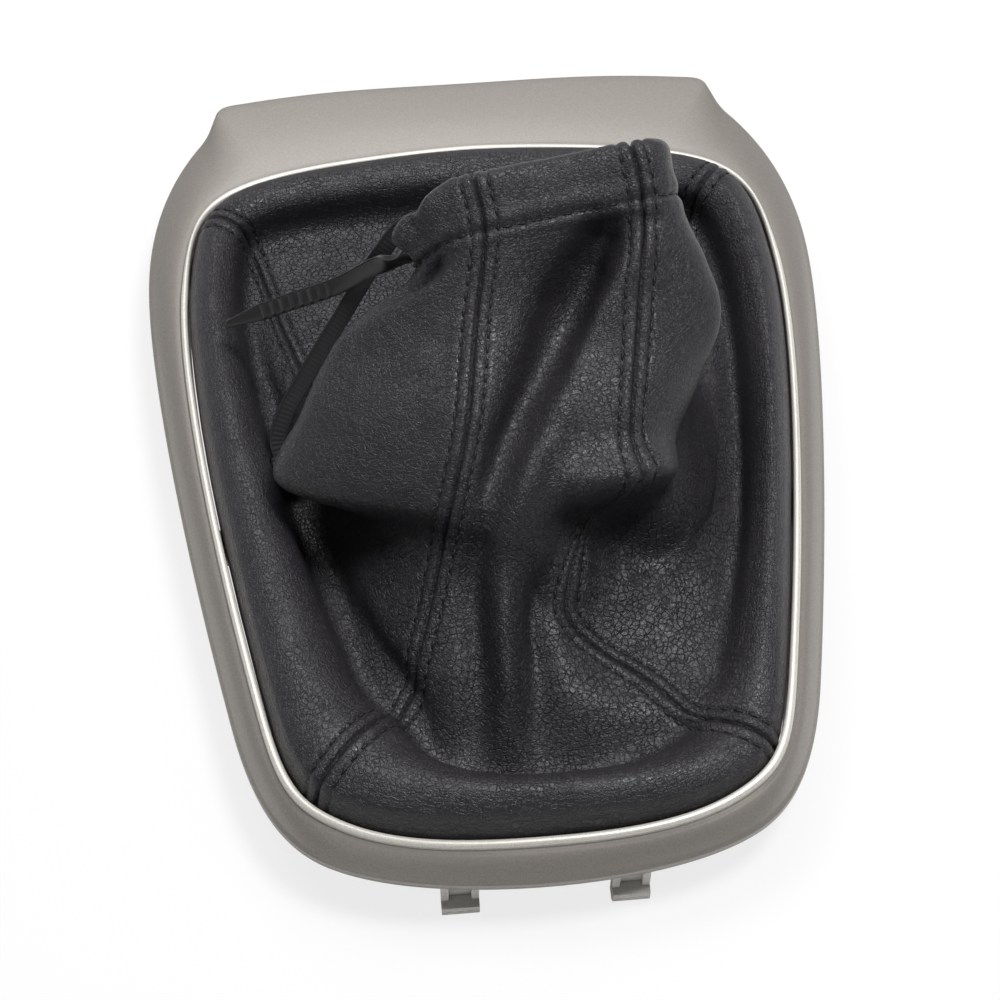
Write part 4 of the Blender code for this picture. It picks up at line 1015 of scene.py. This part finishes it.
floor_bm = bmesh.new()
bmesh.ops.create_grid(floor_bm, x_segments=1, y_segments=1, size=3)
floor_mesh = bpy.data.meshes.new("floor")
floor_bm.to_mesh(floor_mesh)
floor_bm.free()
floor = link("floor", floor_mesh)
floor_mat, floor_tree, floor_shader = shader_material("floor")
floor_shader.inputs["Base Color"].default_value = (0.82, 0.82, 0.82, 1)
floor_shader.inputs["Roughness"].default_value = 0.9
glow = node(floor_tree, "ShaderNodeEmission", Strength=1.0, Color=WHITE)
rays = floor_tree.nodes.new("ShaderNodeLightPath")
dimmer = maths(floor_tree, "MULTIPLY", rays.outputs["Is Glossy Ray"], FLOOR_IN_GLOSS)
seen = maths(floor_tree, "MAXIMUM", rays.outputs["Is Camera Ray"], dimmer)
white_share = maths(floor_tree, "MULTIPLY", seen, FLOOR_WHITE)
mixed_surface(floor_tree, "Material Output", white_share, floor_shader, glow)
floor_mesh.materials.append(floor_mat)

world = bpy.data.worlds.new("studio")
bpy.context.scene.world = world
world.use_nodes = True
tree = world.node_tree
room = tree.nodes["Background"]
room.inputs["Color"].default_value = (0.09, 0.09, 0.09, 1)
backdrop = node(tree, "ShaderNodeBackground", Strength=1.0, Color=WHITE)
rays = tree.nodes.new("ShaderNodeLightPath")
mixed_surface(tree, "World Output", rays.outputs["Is Camera Ray"], room, backdrop)


# Lights: name, place, what they face, size in metres and power in watts
LIGHTS = (
    ("overhead", (0.33, 0.05, 1.1), (0, 0, 0.03), 0.36, 10),
    ("rear_window", (0.0, 0.7, 1.0), (0, 0, 0.03), 0.8, 5),
    ("left_window", (-0.42, 0.42, 0.95), (-0.03, 0, 0.03), 0.4, 2.6),
    ("front_fill", (-0.5, -0.9, 0.7), (0, 0, 0.03), 0.8, 0.6),
    ("side_glint", (0.7, -0.05, 0.8), (0.03, -0.08, 0.015), 0.1, 0.5),
)
CAMERA_PLACE = (-24.8, -274.7, 387.6)
CAMERA_AIM = (-2.35, -17.6, 19.0)
CAMERA_LENS = 79.02
CAMERA_SHIFT = (0.005, -0.010)


def soft_light(name, place, target, size, power):
    light = bpy.data.lights.new(name, "AREA")
    light.shape = "DISK"
    light.size = size
    light.energy = power
    obj = bpy.data.objects.new(name, light)
    bpy.context.collection.objects.link(obj)
    obj.location = place
    obj.rotation_euler = (Vector(target) - Vector(place)).to_track_quat("-Z", "Y").to_euler()


for light in LIGHTS:
    soft_light(*light)

camera_data = bpy.data.cameras.new("camera")
camera = bpy.data.objects.new("camera", camera_data)
bpy.context.collection.objects.link(camera)
camera_data.sensor_width = 36
camera_data.lens = CAMERA_LENS
camera_data.shift_x, camera_data.shift_y = CAMERA_SHIFT
camera_data.clip_start = 0.01
camera.location = Vector(CAMERA_PLACE) * MM
camera.rotation_euler = (Vector(CAMERA_AIM) - Vector(CAMERA_PLACE)).to_track_quat("-Z", "Y").to_euler()
bpy.context.scene.camera = camera
bpy.context.scene.view_settings.view_transform = "Standard"
